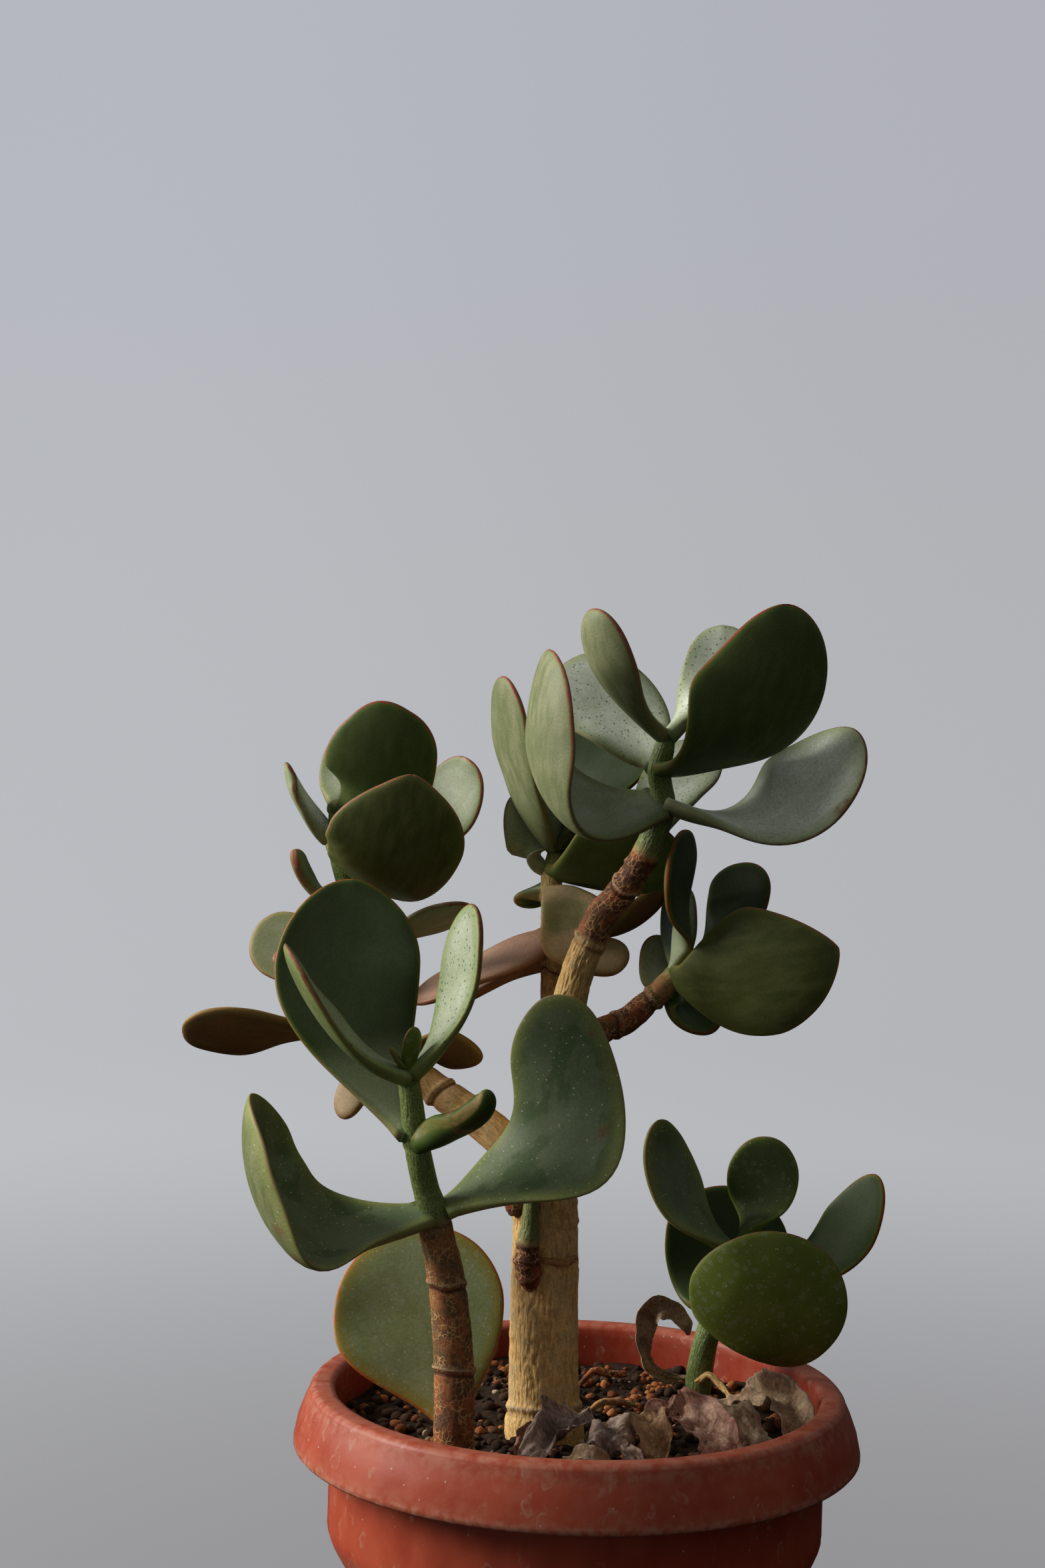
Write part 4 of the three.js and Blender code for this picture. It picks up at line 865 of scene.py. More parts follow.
LEAVES = (
    Leaf("leaf_front_low_left", FRONT_LOW, DUSTY, (-56.4, -20.3, -13.5), (-50.9, -26.5, 38.4), 49.2,
         (0.96, 0.1, -0.27), waist=0.97, widest=0.63, point=2.58, blunt=0.53, swell=-0.2, swell_at=0.43,
         cup=0.38, base=(-0.05, -0.17, 0.98), patches=(Patch(-0.95, 0.5, 4), Patch(-0.92, 0.62, 3))),
    Leaf("leaf_front_low_right", FRONT_LOW, DUSTY, (42.6, 15.2, 16.6), (36.3, 7.2, 63.7), 40.1,
         (-0.34, -0.94, 0.05), neck=0.26, waist=1.11, widest=0.42, point=1.94, blunt=0.45, swell=0.49,
         swell_at=0.42, cup=0.06, roll=0.8, base=(-0.07, -0.14, 0.99),
         patches=(Patch(0.5, 0.86, 1.3), Patch(0.96, 0.55, 2.5, 0.7))),
    Leaf("leaf_front_back", FRONT_MIDDLE, ADULT, (-23.7, 18.5, 22.5), (-20.7, 30.6, 75), 43.9,
         (0.13, -0.96, 0.25), neck=0.22, waist=1.68, widest=0.66, point=1.89, blunt=0.57, swell=-0.09,
         swell_at=0.52, cup=0.13, base=(0.53, -0.53, 0.65)),
    Leaf("leaf_front_small", FRONT_MIDDLE, BRIGHT, (23.8, -26, 11), (20, -26, 17.9), 11.8,
         (-0.67, 0.27, 0.69), neck=0.46, waist=1.43, widest=0.56, point=2.51, blunt=0.53, swell=0.02,
         swell_at=0.49, cup=0.28, thick=8, base=(0.46, 0.13, 0.88), patches=(Patch(0.5, 0.6, 3),)),
    Leaf("leaf_front_top_left", FRONT_TOP, SILVER, (-23.4, -10.4, 9.4), (-35.1, -10.3, 40.2), 24.4,
         (0.95, 0.1, 0.3), neck=0.37, waist=1.27, widest=0.59, point=2.15, blunt=0.54, swell=0.06,
         swell_at=0.39, cup=0.18, base=(0.31, -0.11, 0.94)),
    Leaf("leaf_front_top_right", FRONT_TOP, SILVER, (17, 1, 16), (18.2, 6, 50.8), 20.7,
         (-0.83, -0.56, 0.01), neck=0.31, waist=0.71, widest=0.63, point=2.08, blunt=0.53, swell=0.06,
         cup=0.14, base=(-0.26, -0.08, 0.96)),
    Leaf("leaf_front_round", FRONT_FOOT, LIME, (-2, 11.3, 20), (-19.3, 28.7, 60), 52.3, (0.04, -0.92, 0.4),
         neck=0.1, waist=1.63, widest=0.57, point=2.11, blunt=0.54, swell=-0.05, swell_at=0.43, cup=0.13,
         base=(0.06, -0.87, 0.49)),
    Leaf("leaf_left_top", LEFT_TOP, DEEP, (20.5, -26, -5), (15.2, -29.8, 33.2), 35, (0.09, 0.97, 0.23),
         neck=0.18, waist=0.99, widest=0.63, point=2.76, blunt=0.63, swell=0.07, swell_at=0.46, cup=0.11,
         base=(0.37, 0.79, 0.49), nib=1),
    Leaf("leaf_left_front", LEFT_FOURTH, OLIVE, (18.7, -33.5, -23.3), (25.6, -35.9, 23.8), 42.5,
         (-0.07, 0.93, 0.37), neck=0.25, waist=0.96, widest=0.65, point=1.86, blunt=0.73, swell=0.08,
         swell_at=0.37, cup=0.16, base=(0.12, 0.48, 0.87), nib=0.6),
    Leaf("leaf_left_silver", LEFT_FIFTH, PALE, (40, 18, -4), (40.2, 11.9, 23.7), 29.9, (-0.69, -0.7, 0.18),
         neck=0.2, waist=1.11, widest=0.64, point=2.16, blunt=0.53, swell=0.15, swell_at=0.49, cup=0.1,
         base=(-0.13, -0.02, 0.99)),
    Leaf("leaf_left_narrow", LEFT_FOURTH, FROST, (-17.3, -2.4, 21.8), (-14.4, -9.2, 26.2), 13.9,
         (0.78, -0.18, 0.6), neck=0.16, waist=0.44, widest=0.55, point=2.94, blunt=0.45, swell=-0.07,
         swell_at=0.47, cup=0.06, base=(0.54, -0.43, 0.73)),
    Leaf("leaf_left_back", LEFT_TOP, PALE, (0, 15, 9), (6, 21, 26), 18, (-0.2, -0.9, 0.2)),
    Leaf("leaf_left_sliver", LEFT_THIRD, PALE, (-14.8, 6.3, -3.5), (-17.8, -3, 14.3), 8.3,
         (0.76, -0.41, 0.5), neck=0.32, waist=1.14, widest=0.8, point=1.41, blunt=0.6, swell=0.27,
         swell_at=0.43, cup=0.15, base=(-0.32, -0.03, 0.95)),
    Leaf("leaf_left_inner", LEFT_SECOND, FROST, (9, -5.4, 0.2), (36.1, -4.2, 10.5), 19.3,
         (-0.02, 0.48, 0.88), neck=0.2, waist=0.95, widest=0.49, point=2.32, blunt=0.45, swell=0.06,
         swell_at=0.38, cup=0.18, base=(-0.42, 0.08, 0.9)),
    Leaf("leaf_left_round", LEFT_SECOND, FADED, (-18.9, 16.6, -5), (-38.2, 16, -1), 24.3,
         (0.41, -0.87, 0.29), neck=0.24, waist=1.03, widest=0.66, point=2.02, blunt=0.45, swell=-0.17,
         swell_at=0.44, cup=0.09, base=(-0.23, -0.05, 0.97)),
    Leaf("leaf_left_small", LEFT_SECOND, PINK, (-18, -11, -8), (-27, -15, -4), 11, (0.3, -0.6, 0.6)),
    Leaf("leaf_left_brown", LEFT_FIRST, BROWN, (-42.2, -17.5, 0.8), (-61.7, -17.1, 1.4), 26.2,
         (0.16, 0.66, 0.73), neck=0.31, waist=1.22, widest=0.71, point=2.13, blunt=0.45, swell=0.15,
         swell_at=0.52, cup=0.09, base=(0.15, 0.03, 0.99)),
    Leaf("leaf_left_hanging", LEFT_FIRST, TAN, (-5, 5, -10), (-13, -2, -28), 12, (-0.5, -0.8, 0.3)),
    Leaf("leaf_left_dark", LEFT_FIRST, BROWN, (12.6, -4.4, -6.2), (32.1, -5.1, -7.8), 19.5,
         (-0.04, 0.71, 0.71), neck=0.31, widest=0.6, point=1.61, blunt=0.56, swell=0.08, swell_at=0.4,
         cup=0.13),
    Leaf("leaf_top_large", TOP_THIRD, DEEP, (33, -23.3, 2.2), (36.8, -20.5, 48.8), 40, (-0.19, 0.92, 0.34),
         neck=0.26, waist=1.12, widest=0.52, point=1.93, blunt=0.54, swell=0.15, cup=0.16,
         base=(0.04, -0.01, 1)),
    Leaf("leaf_top_spotted", TOP_FOURTH, FROST, (18.5, 6.1, 20.4), (18.2, 17.3, 36), 19.5,
         (-0.05, -0.91, 0.42), neck=0.35, waist=1.11, point=2.12, blunt=0.47, swell=0.03, swell_at=0.5,
         cup=0.09, base=(-0.12, 0.03, 0.99)),
    Leaf("leaf_top_left", TOP_FOURTH, PALE, (-22.7, -12.8, 18), (-22, -15.3, 38.6), 20.6,
         (0.78, 0.56, 0.27), neck=0.22, waist=1.76, widest=0.68, point=2.06, blunt=0.46, swell=-0.07,
         swell_at=0.51, cup=0.19, base=(0.16, 0.03, 0.99)),
    Leaf("leaf_top_silver", TOP_THIRD, FROST, (-7.7, 14.1, 14.1), (-28.8, 22.4, 33.5), 31.5,
         (0.35, -0.93, 0.13), neck=0.21, waist=0.85, widest=0.57, point=2.42, blunt=0.55, swell=0.05,
         swell_at=0.34, cup=0.11, base=(-0.39, -0.08, 0.92)),
    Leaf("leaf_top_low_right", TOP_SECOND, FROST, (37.6, -12.2, -15.3), (56, -12.9, 22.7), 33.8,
         (-0.55, -0.73, 0.4), neck=0.31, waist=1.01, widest=0.57, point=2.22, blunt=0.56, swell=-0.05,
         swell_at=0.39, cup=0.14, base=(0.26, 0.04, 0.97), dotted=0.3,
         patches=(Patch(0.95, 0.72, 3.5), Patch(0.97, 0.8, 3))),
    Leaf("leaf_top_low_left", TOP_SECOND, PALE, (-50.9, -19.9, -16.5), (-35, -21, 45.8), 43.5,
         (0.94, 0.25, -0.25), neck=0.29, waist=1, widest=0.63, point=2.23, blunt=0.47, swell=0.11,
         swell_at=0.29, cup=0.3, base=(0.52, -0.33, 0.79), patches=(Patch(0.9, 0.85, 2.5, 0.7),)),
    Leaf("leaf_top_back", TOP_FIRST, FROST, (3, 24, 10), (20, 46, 30), 24, (-0.3, -0.9, 0.2)),
    Leaf("leaf_middle_tall", MIDDLE_TOP, PALE, (-14.2, -18.9, 19.6), (-17.6, -20.8, 56.2), 26.4,
         (0.88, 0.44, 0.15), neck=0.17, waist=1.24, widest=0.6, point=2.31, swell=0.1, cup=0.07,
         base=(0.19, -0.06, 0.98)),
    Leaf("leaf_middle_wide", MIDDLE_THIRD, DEEP, (19.8, -21.8, -3.3), (38.4, -23.4, 11.7), 31.9,
         (-0.08, 0.87, 0.48), neck=0.24, waist=0.98, widest=0.6, point=2.11, blunt=0.51, swell=0.21,
         swell_at=0.48, base=(0.5, 0.04, 0.86)),
    Leaf("leaf_middle_shaded", MIDDLE_TOP, PAINTED_SHADE, (10.5, 0.7, 13.8), (24, 20.1, 42.9), 35.7,
         (-0.44, -0.82, 0.36), neck=0.26, waist=1.4, widest=0.66, point=2.37, blunt=0.46, swell=-0.03,
         swell_at=0.47, cup=0.14, base=(-0.38, 0.05, 0.92)),
    Leaf("leaf_middle_left", MIDDLE_THIRD, FROST, (-8.5, 2.6, 3.2), (-3.6, 5.5, 26.2), 22.5,
         (-0.43, 0.88, 0.2), neck=0.2, waist=0.87, widest=0.63, point=2.59, blunt=0.45, swell_at=0.43,
         cup=0.1, base=(0.14, 0.04, 0.99)),
    Leaf("leaf_middle_drooping", MIDDLE_SECOND, TAN, (2.9, -11.5, 7), (8.9, -17.1, -20.3), 23.4,
         (0.12, -0.98, 0.15), neck=0.34, waist=1.41, widest=0.61, point=2.08, blunt=0.45, swell=-0.17,
         swell_at=0.41, cup=0.14, base=(0.01, -0.29, 0.96)),
    Leaf("leaf_middle_tan", MIDDLE_FOOT, TAN, (14.6, -2, -3.5), (22.6, 3, 6.1), 14.4, (0.38, -0.59, 0.71),
         neck=0.25, waist=0.82, widest=0.53, point=2.37, blunt=0.52, swell=-0.03, swell_at=0.49, cup=0.11,
         base=(0.03, 0, 1)),
    Leaf("leaf_middle_brown", MIDDLE_FIRST, BROWN, (26.6, 6.4, -0.6), (36.5, 5.8, 16.5), 17.8,
         (-0.38, 0.45, 0.81), neck=0.27, waist=0.88, widest=0.65, blunt=0.47, swell=0.02, cup=0.13,
         base=(-0.06, 0.01, 1)),
    Leaf("leaf_middle_small", MIDDLE_SECOND, ADULT, (-7.5, 10.5, 4.6), (-6.5, 12.1, -2.3), 15.9,
         (-0.11, -0.46, 0.88), neck=0.22, waist=1.18, widest=0.57, point=2.13, blunt=0.53, swell=0.12,
         swell_at=0.51, cup=0.14, base=(-0.18, 0, 0.98)),
    Leaf("leaf_middle_pink", MIDDLE_FIRST, PINK, (-18.5, -7.3, -8.6), (-45.6, -7, -20.2), 20.8,
         (-0.29, -0.32, 0.9), neck=0.4, waist=0.87, widest=0.58, point=2.06, blunt=0.51, swell=-0.09,
         swell_at=0.44, base=(0.64, -0.19, 0.74)),
    Leaf("leaf_middle_dark", MIDDLE_FOOT, PINK, (-17.1, 5.9, -4.4), (-38.2, 7.5, -16.5), 12,
         (-0.05, -0.34, 0.94), waist=0.92, widest=0.64, blunt=0.56, swell=0.06, cup=0.16,
         base=(-0.09, -0.01, 1)),
    Leaf("leaf_right_large", RIGHT_FIRST, OLIVE, (15.6, -28, -2.4), (48.1, -29.9, 11.6), 40.1,
         (0.05, 1, -0.02), neck=0.19, waist=1.24, widest=0.56, point=1.63, blunt=0.72, swell=0.05,
         swell_at=0.51, cup=0.14, base=(0.47, 0.86, 0.18)),
    Leaf("leaf_right_upper", RIGHT_TOP, PAINTED_SHADE, (20.6, 5.5, 7.2), (19.7, 10.5, 31), 20.8,
         (-0.42, -0.87, 0.27), neck=0.24, waist=1.49, widest=0.74, point=2.16, blunt=0.48, swell=-0.02,
         swell_at=0.4, cup=0.11, base=(0.02, 0, 1)),
    Leaf("leaf_right_narrow", RIGHT_FIRST, ADULT, (5.3, -2.8, 16.9), (-1, -21.4, 43.8), 31.4,
         (0.94, -0.33, -0.08), neck=0.12, waist=1.35, widest=0.68, point=2.14, blunt=0.51, swell=-0.09,
         swell_at=0.35, cup=0.03, base=(0.6, -0.02, 0.8)),
    Leaf("leaf_right_left", RIGHT_FIRST, PALE, (-6.6, 18.5, -6.7), (-2.2, 20.4, 11.9), 12.6,
         (0.11, -0.92, 0.37), neck=0.34, waist=1.09, widest=0.63, point=2.8, blunt=0.45, swell=0.1,
         swell_at=0.53, cup=0.09, base=(-0.33, 0.06, 0.94)),
    Leaf("leaf_right_slim", RIGHT_FIRST, SLATE, (4, 14, 9), (3.5, 24, 28.5), 12.8, (-0.49, -0.84, 0.26),
         neck=0.24, waist=1.07, widest=0.61, point=2.41, blunt=0.51, swell=-0.01, swell_at=0.5, cup=0.1,
         base=(0.01, 0, 1)),
    Leaf("leaf_right_low", RIGHT_FIRST, DEEP, (-2.3, 0.9, -17.6), (14.4, 3.7, -8.4), 19.3,
         (0.16, -0.65, 0.75), neck=0.31, waist=1.46, widest=0.64, point=2.15, blunt=0.51, swell=-0.09,
         swell_at=0.46, cup=0.03, base=(-0.08, 0.03, 1)),
    Leaf("leaf_offshoot_front", OFFSHOOT_LOW, LUSH, (2.4, -29.4, -20.1), (25.6, -32.6, 29.1), 49.7,
         (0.06, 1, 0.04), neck=0.18, waist=0.9, widest=0.58, point=2, blunt=0.51, swell=0.04, swell_at=0.42,
         cup=0.17, base=(0.23, 0.58, 0.78)),
    Leaf("leaf_offshoot_back", OFFSHOOT_LOW, PAINTED_SHADE, (1.5, 15.3, -3.5), (6.2, 17.3, 36.9), 41.9,
         (0.05, -0.97, 0.24), neck=0.36, waist=0.94, widest=0.53, point=2.42, blunt=0.53, swell=0.06,
         swell_at=0.38, cup=0.16, base=(-0.03, 0, 1)),
    Leaf("leaf_offshoot_left", OFFSHOOT_MIDDLE, DUSTY, (-27.2, -4.1, 21.9), (-26.4, -8.2, 46.2), 26.6,
         (0.69, -0.65, 0.32), waist=0.84, widest=0.55, point=1.98, blunt=0.49, swell=-0.02, cup=0.15,
         base=(-0.26, -0.15, 0.96)),
    Leaf("leaf_offshoot_right", OFFSHOOT_MIDDLE, ADULT, (31.6, -11, -9.8), (43.8, -16.2, 29.6), 21.6,
         (-0.59, -0.72, 0.37), neck=0.32, waist=1.13, point=1.86, blunt=0.56, swell=0.03, swell_at=0.43,
         cup=0.09, base=(-0.09, -0.01, 1)),
    Leaf("leaf_offshoot_top", OFFSHOOT_TOP, LUSH, (8, 4.2, 9.2), (8.6, 3.3, 35.4), 23.6,
         (-0.02, -0.99, 0.13), neck=0.24, waist=1.14, widest=0.64, point=1.89, blunt=0.48, swell=0.01,
         swell_at=0.38, base=(-0.41, 0.05, 0.91)),
)

BUD_LEAVES = (
    Leaf("bud_leaf_front", FRONT_TIP, LUSH, (1, -4, 6), (2, -4, 14), 6, (-0.3, 0.6, 0.2), thick=2, dotted=0),
    Leaf("bud_leaf_side", FRONT_TIP, LUSH, (-2, -4, 3), (-5, -5, 8), 4, (0.9, 0, 0.2), thick=1.8, dotted=0),
)


@dataclass
class Foliage:
    """All the plant's leaves, one piece for each node."""

    leaves: tuple[Leaf, ...] = LEAVES
    buds: tuple[Leaf, ...] = BUD_LEAVES

    FIRST_BUD_SEED = 90

    def build(self) -> None:
        """Makes every leaf in its own finish."""
        materials = {finish: finish.material() for finish in LEAF_FINISHES}
        for seed, leaf in enumerate(self.leaves):
            leaf.piece(seed + 1).build(materials[leaf.finish], [leaf.name])
        for seed, leaf in enumerate(self.buds):
            leaf.piece(self.FIRST_BUD_SEED + seed).build(materials[leaf.finish])


# Stems


@dataclass(frozen=True)
class Ring:
    """A leaf scar round a stem: its share along the stem, how far it stands out, its width and its tilt."""

    share: float
    stand: float = 0.5
    width: float = 0.9
    slant: float = 0.6

    def relief(self, gap: Array) -> Array:
        """Returns how far the skin stands out, by its way past the ring: a ridge, with a groove before it."""
        ridge = np.exp(-((gap / self.width) ** 2))
        groove = np.exp(-(((gap + 1.7 * self.width) / self.width) ** 2))
        return self.stand * (ridge - 0.55 * groove)


@dataclass(frozen=True)
class Stem:
    """A stem through points of x, y, z and radius, and the skins along it.

    skins lists places along the stem with the shares of tan bark, of maroon skin and of green skin there.
    """

    name: str
    points: tuple[tuple[float, float, float, float], ...]
    skins: tuple[tuple[float, float, float, float], ...]
    rings: tuple[Ring, ...] = ()
    sides: int = 56
    step: float = 0.6
    fissures: float = 0.25
    slot: Slot = Slot.BARK
    replaces: tuple[str, ...] = ()

    SAMPLES = 2001

    def piece(self, seed: int) -> Piece:
        """Builds the stem's mesh, with its scars and cracked bark, and the fields that its finish reads.

        Args:
            seed: picks its pattern.

        Returns:
            The piece.
        """
        clouds = Clouds(seed)
        knots = np.array(self.points, float)
        even = np.linspace(0, 1, self.SAMPLES)
        run = way_along(through(knots[:, :3], even))
        count = int(run[-1] / self.step) + 1
        way = np.linspace(0, run[-1], count)
        shares = np.interp(way, run, even)
        centre = through(knots[:, :3], shares)
        radius = np.interp(shares * (len(knots) - 1), np.arange(len(knots)), knots[:, 3])[:, None]
        tangent = directions(centre)
        side = unit(np.cross(np.array([0.0, 1.0, 0.0]), tangent))
        front = np.cross(tangent, side)
        turn = circle_angles(self.sides)
        circle = np.column_stack([np.cos(turn), np.sin(turn)])
        tan, maroon, green = (
            np.interp(shares, *zip(*((skin[0], skin[column]) for skin in self.skins))) for column in (1, 2, 3)
        )
        level = np.broadcast_to(way[:, None], (count, self.sides))
        place = np.stack([circle[:, 0] * radius, circle[:, 1] * radius, level], axis=2).reshape(-1, 3)
        cracks = clouds.layered(place / (0.95, 0.95, 3.6) + 7, 3)
        ridge = smooth((1 - np.abs(2 * cracks - 1)).reshape(count, self.sides), 0.6, 0.98)
        broad = clouds(place / 9 + 31).reshape(count, self.sides)
        lump = clouds.layered(place / (4, 4, 4) + 50, 2).reshape(count, self.sides) - 0.5
        scar = np.zeros((count, self.sides))
        for ring in self.rings:
            tilt = ring.slant * np.cos(turn + 7 * ring.share) * 2
            around = np.column_stack([circle * 1.3, np.full(self.sides, 40 * ring.share)])
            wobble = (clouds(around) - 0.5) * 1.6
            middle = np.interp(ring.share, shares, way) + tilt[None, :]
            scar += ring.relief(way[:, None] - middle - wobble[None, :])
        strength = self.fissures * (tan + 0.35 * maroon)[:, None]
        bark = strength * (ridge - 0.4) * (0.6 + broad)
        grown = radius + scar + bark + 0.5 * lump * (tan + maroon)[:, None]
        body = (
            centre[:, None, :]
            + side[:, None, :] * (circle[None, :, 0] * grown)[..., None]
            + front[:, None, :] * (circle[None, :, 1] * grown)[..., None]
        )
        fields = {
            "stem_place": place + (0, 0, 200.0 * (seed % 10)),
            "stem_form": as_field(ridge.ravel(), np.clip(scar, -1, 1).ravel()),
            "stem_skin": np.column_stack([np.repeat(part, self.sides) for part in (tan, maroon, green)]),
        }
        faces = tube_faces(count, self.sides)
        return Piece(self.name, self.slot, leaned(body.reshape(-1, 3)), faces, fields, weld=0.0)


@dataclass(frozen=True)
class StemFinish:
    """The skins of the stems: tan bark, maroon young bark with a tan net, and smooth green."""

    bark: Colour = (0.84, 0.54, 0.21)
    bark_crack: Colour = (0.6, 0.36, 0.12)
    bark_grey: Colour = (0.6, 0.45, 0.23)
    maroon: Colour = (0.085, 0.026, 0.015)
    rust: Colour = (0.3, 0.07, 0.022)
    net: Colour = (0.58, 0.31, 0.125)
    scar: Colour = (0.52, 0.37, 0.22)
    groove: Colour = (0.1, 0.03, 0.015)
    green: Colour = (0.21, 0.27, 0.08)
    green_deep: Colour = (0.12, 0.17, 0.045)

    def material(self) -> bpy.types.Material:
        """Returns the finish as a material, from the stem's own fields."""
        g = Graph("finish_stems")
        place = g.attribute("stem_place")
        ridge, scar, _ = g.parts(g.attribute("stem_form"))
        _, maroon_share, green_share = g.parts(g.attribute("stem_skin"))
        fine = g.noise(place, 1.6, 5.0)
        cloud = g.noise(place, 0.13, 3.0)
        lines = g.noise(place, 1.5, 4.0, (1.0, 1.0, 0.22))
        tan = g.mix(g.step(ridge, 0.05, 0.6), self.bark_crack, self.bark)
        tan = g.mix(g.step(lines, 0.5, 0.36, 0.0, 0.75), tan, self.bark_crack)
        tan = g.mix(g.step(cloud, 0.45, 0.68, 0.0, 0.6), tan, self.bark_grey)
        far, _ = g.cells(g.warped(place, 0.9, 1.2), 0.62, "DISTANCE_TO_EDGE", (1.0, 1.0, 0.75))
        crack = g.step(far, 0.02, 0.12, 1.0, 0.0)
        web = g.times(crack, g.step(g.noise(place, 0.22, 3.0), 0.4, 0.6, 0.15, 1.0))
        maroon = g.mix(g.step(g.noise(place, 0.16, 4.0), 0.42, 0.6), self.maroon, self.rust)
        maroon = g.mix(web, maroon, self.net)
        green = g.mix(g.step(fine, 0.3, 0.7), self.green_deep, self.green)
        fleck, fleck_tone = g.cells(place, 0.5)
        fleck = g.times(g.step(fleck, 0.06, 0.16, 0.7, 0.0), g.step(g.parts(fleck_tone)[0], 0.5, 0.7))
        green = g.mix(fleck, green, (0.42, 0.46, 0.25))
        colour = g.mix(maroon_share, tan, maroon)
        colour = g.mix(green_share, colour, green)
        paler = g.times(g.step(scar, 0.3, 0.6, 0.0, 0.8), g.step(green_share, 0.2, 0.8, 1.0, 0.2))
        colour = g.mix(paler, colour, self.scar)
        darker = g.times(g.step(scar, -0.25, -0.06, 1.0, 0.0), g.step(maroon_share, 0.0, 0.6, 0.3, 1.0))
        colour = g.mix(darker, colour, self.groove)
        colour = g.mottled(colour, g.step(fine, 0.25, 0.75), 0.82, 1.15)
        roughness = g.step(green_share, 0.0, 1.0, 0.72, 0.45)
        skin = g.times(web, maroon_share)
        height = g.plus(g.times(fine, 0.2), g.times(skin, 0.25))
        height = g.plus(height, g.times(g.step(lines, 0.3, 0.6, 0.0, 0.5), g.step(maroon_share, 0.5, 0.0)))
        return g.surface(colour, roughness, height, 0.45, {"Specular IOR Level": 0.3})


TRUNK_POINTS = (
    (-10, -15, 128, 12.4), (-10, -15, 131, 12.5), (-10.3, -15, 143, 12), (-10.3, -15, 150, 10.8),
    (-10.3, -15, 170, 10.5), (-10, -15, 190, 10.3), (-9.8, -15, 205, 9.9), (-9.6, -15, 216, 9.5),
    (-8.6, -15, 231, 8.6), (-5.8, -16, 252, 6.6), (-2.3, -18, 273, 5.2), (0.5, -19, 283, 4.9),
    (4, -20, 292, 4.9), (7, -21, 298.5, 4.9), (13.9, -22, 307, 4.6), (20.1, -24, 317, 4.4),
    (24, -25.4, 326, 4), (25.9, -26, 333.5, 3.8), (25.3, -26, 338.6, 3.5), (24.6, -27, 343.7, 3.6),
    (26, -28, 349.7, 3.2), (27, -28, 354, 2.6),
)
LEFT_LIMB_POINTS = (
    (-9, -14, 212, 7), (-16, -12, 222, 6.3), (-24, -9, 229.3, 5.9), (-34.5, -4, 236.9, 5.5),
    (-45.2, 0, 243.7, 5), (-53.8, 4, 251.6, 4.5), (-61.5, 8, 260.7, 4.3), (-65.2, 10, 274.4, 3.8),
    (-68.2, 11, 289.3, 3.6), (-72.4, 12, 304.2, 3.4), (-76.1, 12, 318.2, 3.2), (-76.8, 13, 332, 2.6),
)
RIGHT_LIMB_POINTS = (
    (-5, -17, 253, 4.4), (1.2, -16, 259, 4.6), (8.2, -12, 263, 4.1), (15.6, -8, 265.6, 4.1),
    (22, -5, 270.5, 3.8), (28.4, -3, 276, 3.8), (31.5, -2, 280, 3.3), (34.9, -1, 285, 2.6),
)
MIDDLE_LIMB_POINTS = (
    (-9.4, -14, 218, 6), (-8, -2, 240, 4.8), (-7.1, 7, 259.6, 4.1), (-7.2, 13, 274.1, 3.8),
    (-7, 16, 286.8, 3.7), (-7.4, 18, 301.8, 3.5), (-7.4, 20, 310.3, 3.3), (-5.8, 22, 318, 2.6),
)
FRONT_STEM_POINTS = (
    (-37.3, -48, 128, 6.2), (-37.3, -48, 133, 6.2), (-37.2, -48, 145.3, 6.1), (-36.9, -48, 158.1, 6.1),
    (-37.3, -48, 171.8, 5.9), (-38.9, -48, 190.5, 5.5), (-42, -49, 207.3, 5.1), (-43, -50, 213.4, 4.6),
    (-45.1, -50, 220.3, 3.9), (-47, -51, 229.2, 3.8), (-48.2, -51, 235.5, 3.8), (-49.3, -52, 246, 3.4),
    (-50.2, -52, 253.4, 3.2), (-50.4, -52, 257, 2.2),
)
OFFSHOOT_POINTS = (
    (40.6, 31, 132, 4.4), (40.8, 31, 137, 4.5), (42.1, 31, 148, 4.3), (44.3, 31, 157.9, 4),
    (47.3, 32, 166.5, 3.6), (51, 32, 176.4, 3.1), (54.2, 33, 183.9, 2.9), (55.6, 33, 187.9, 2.2),
)

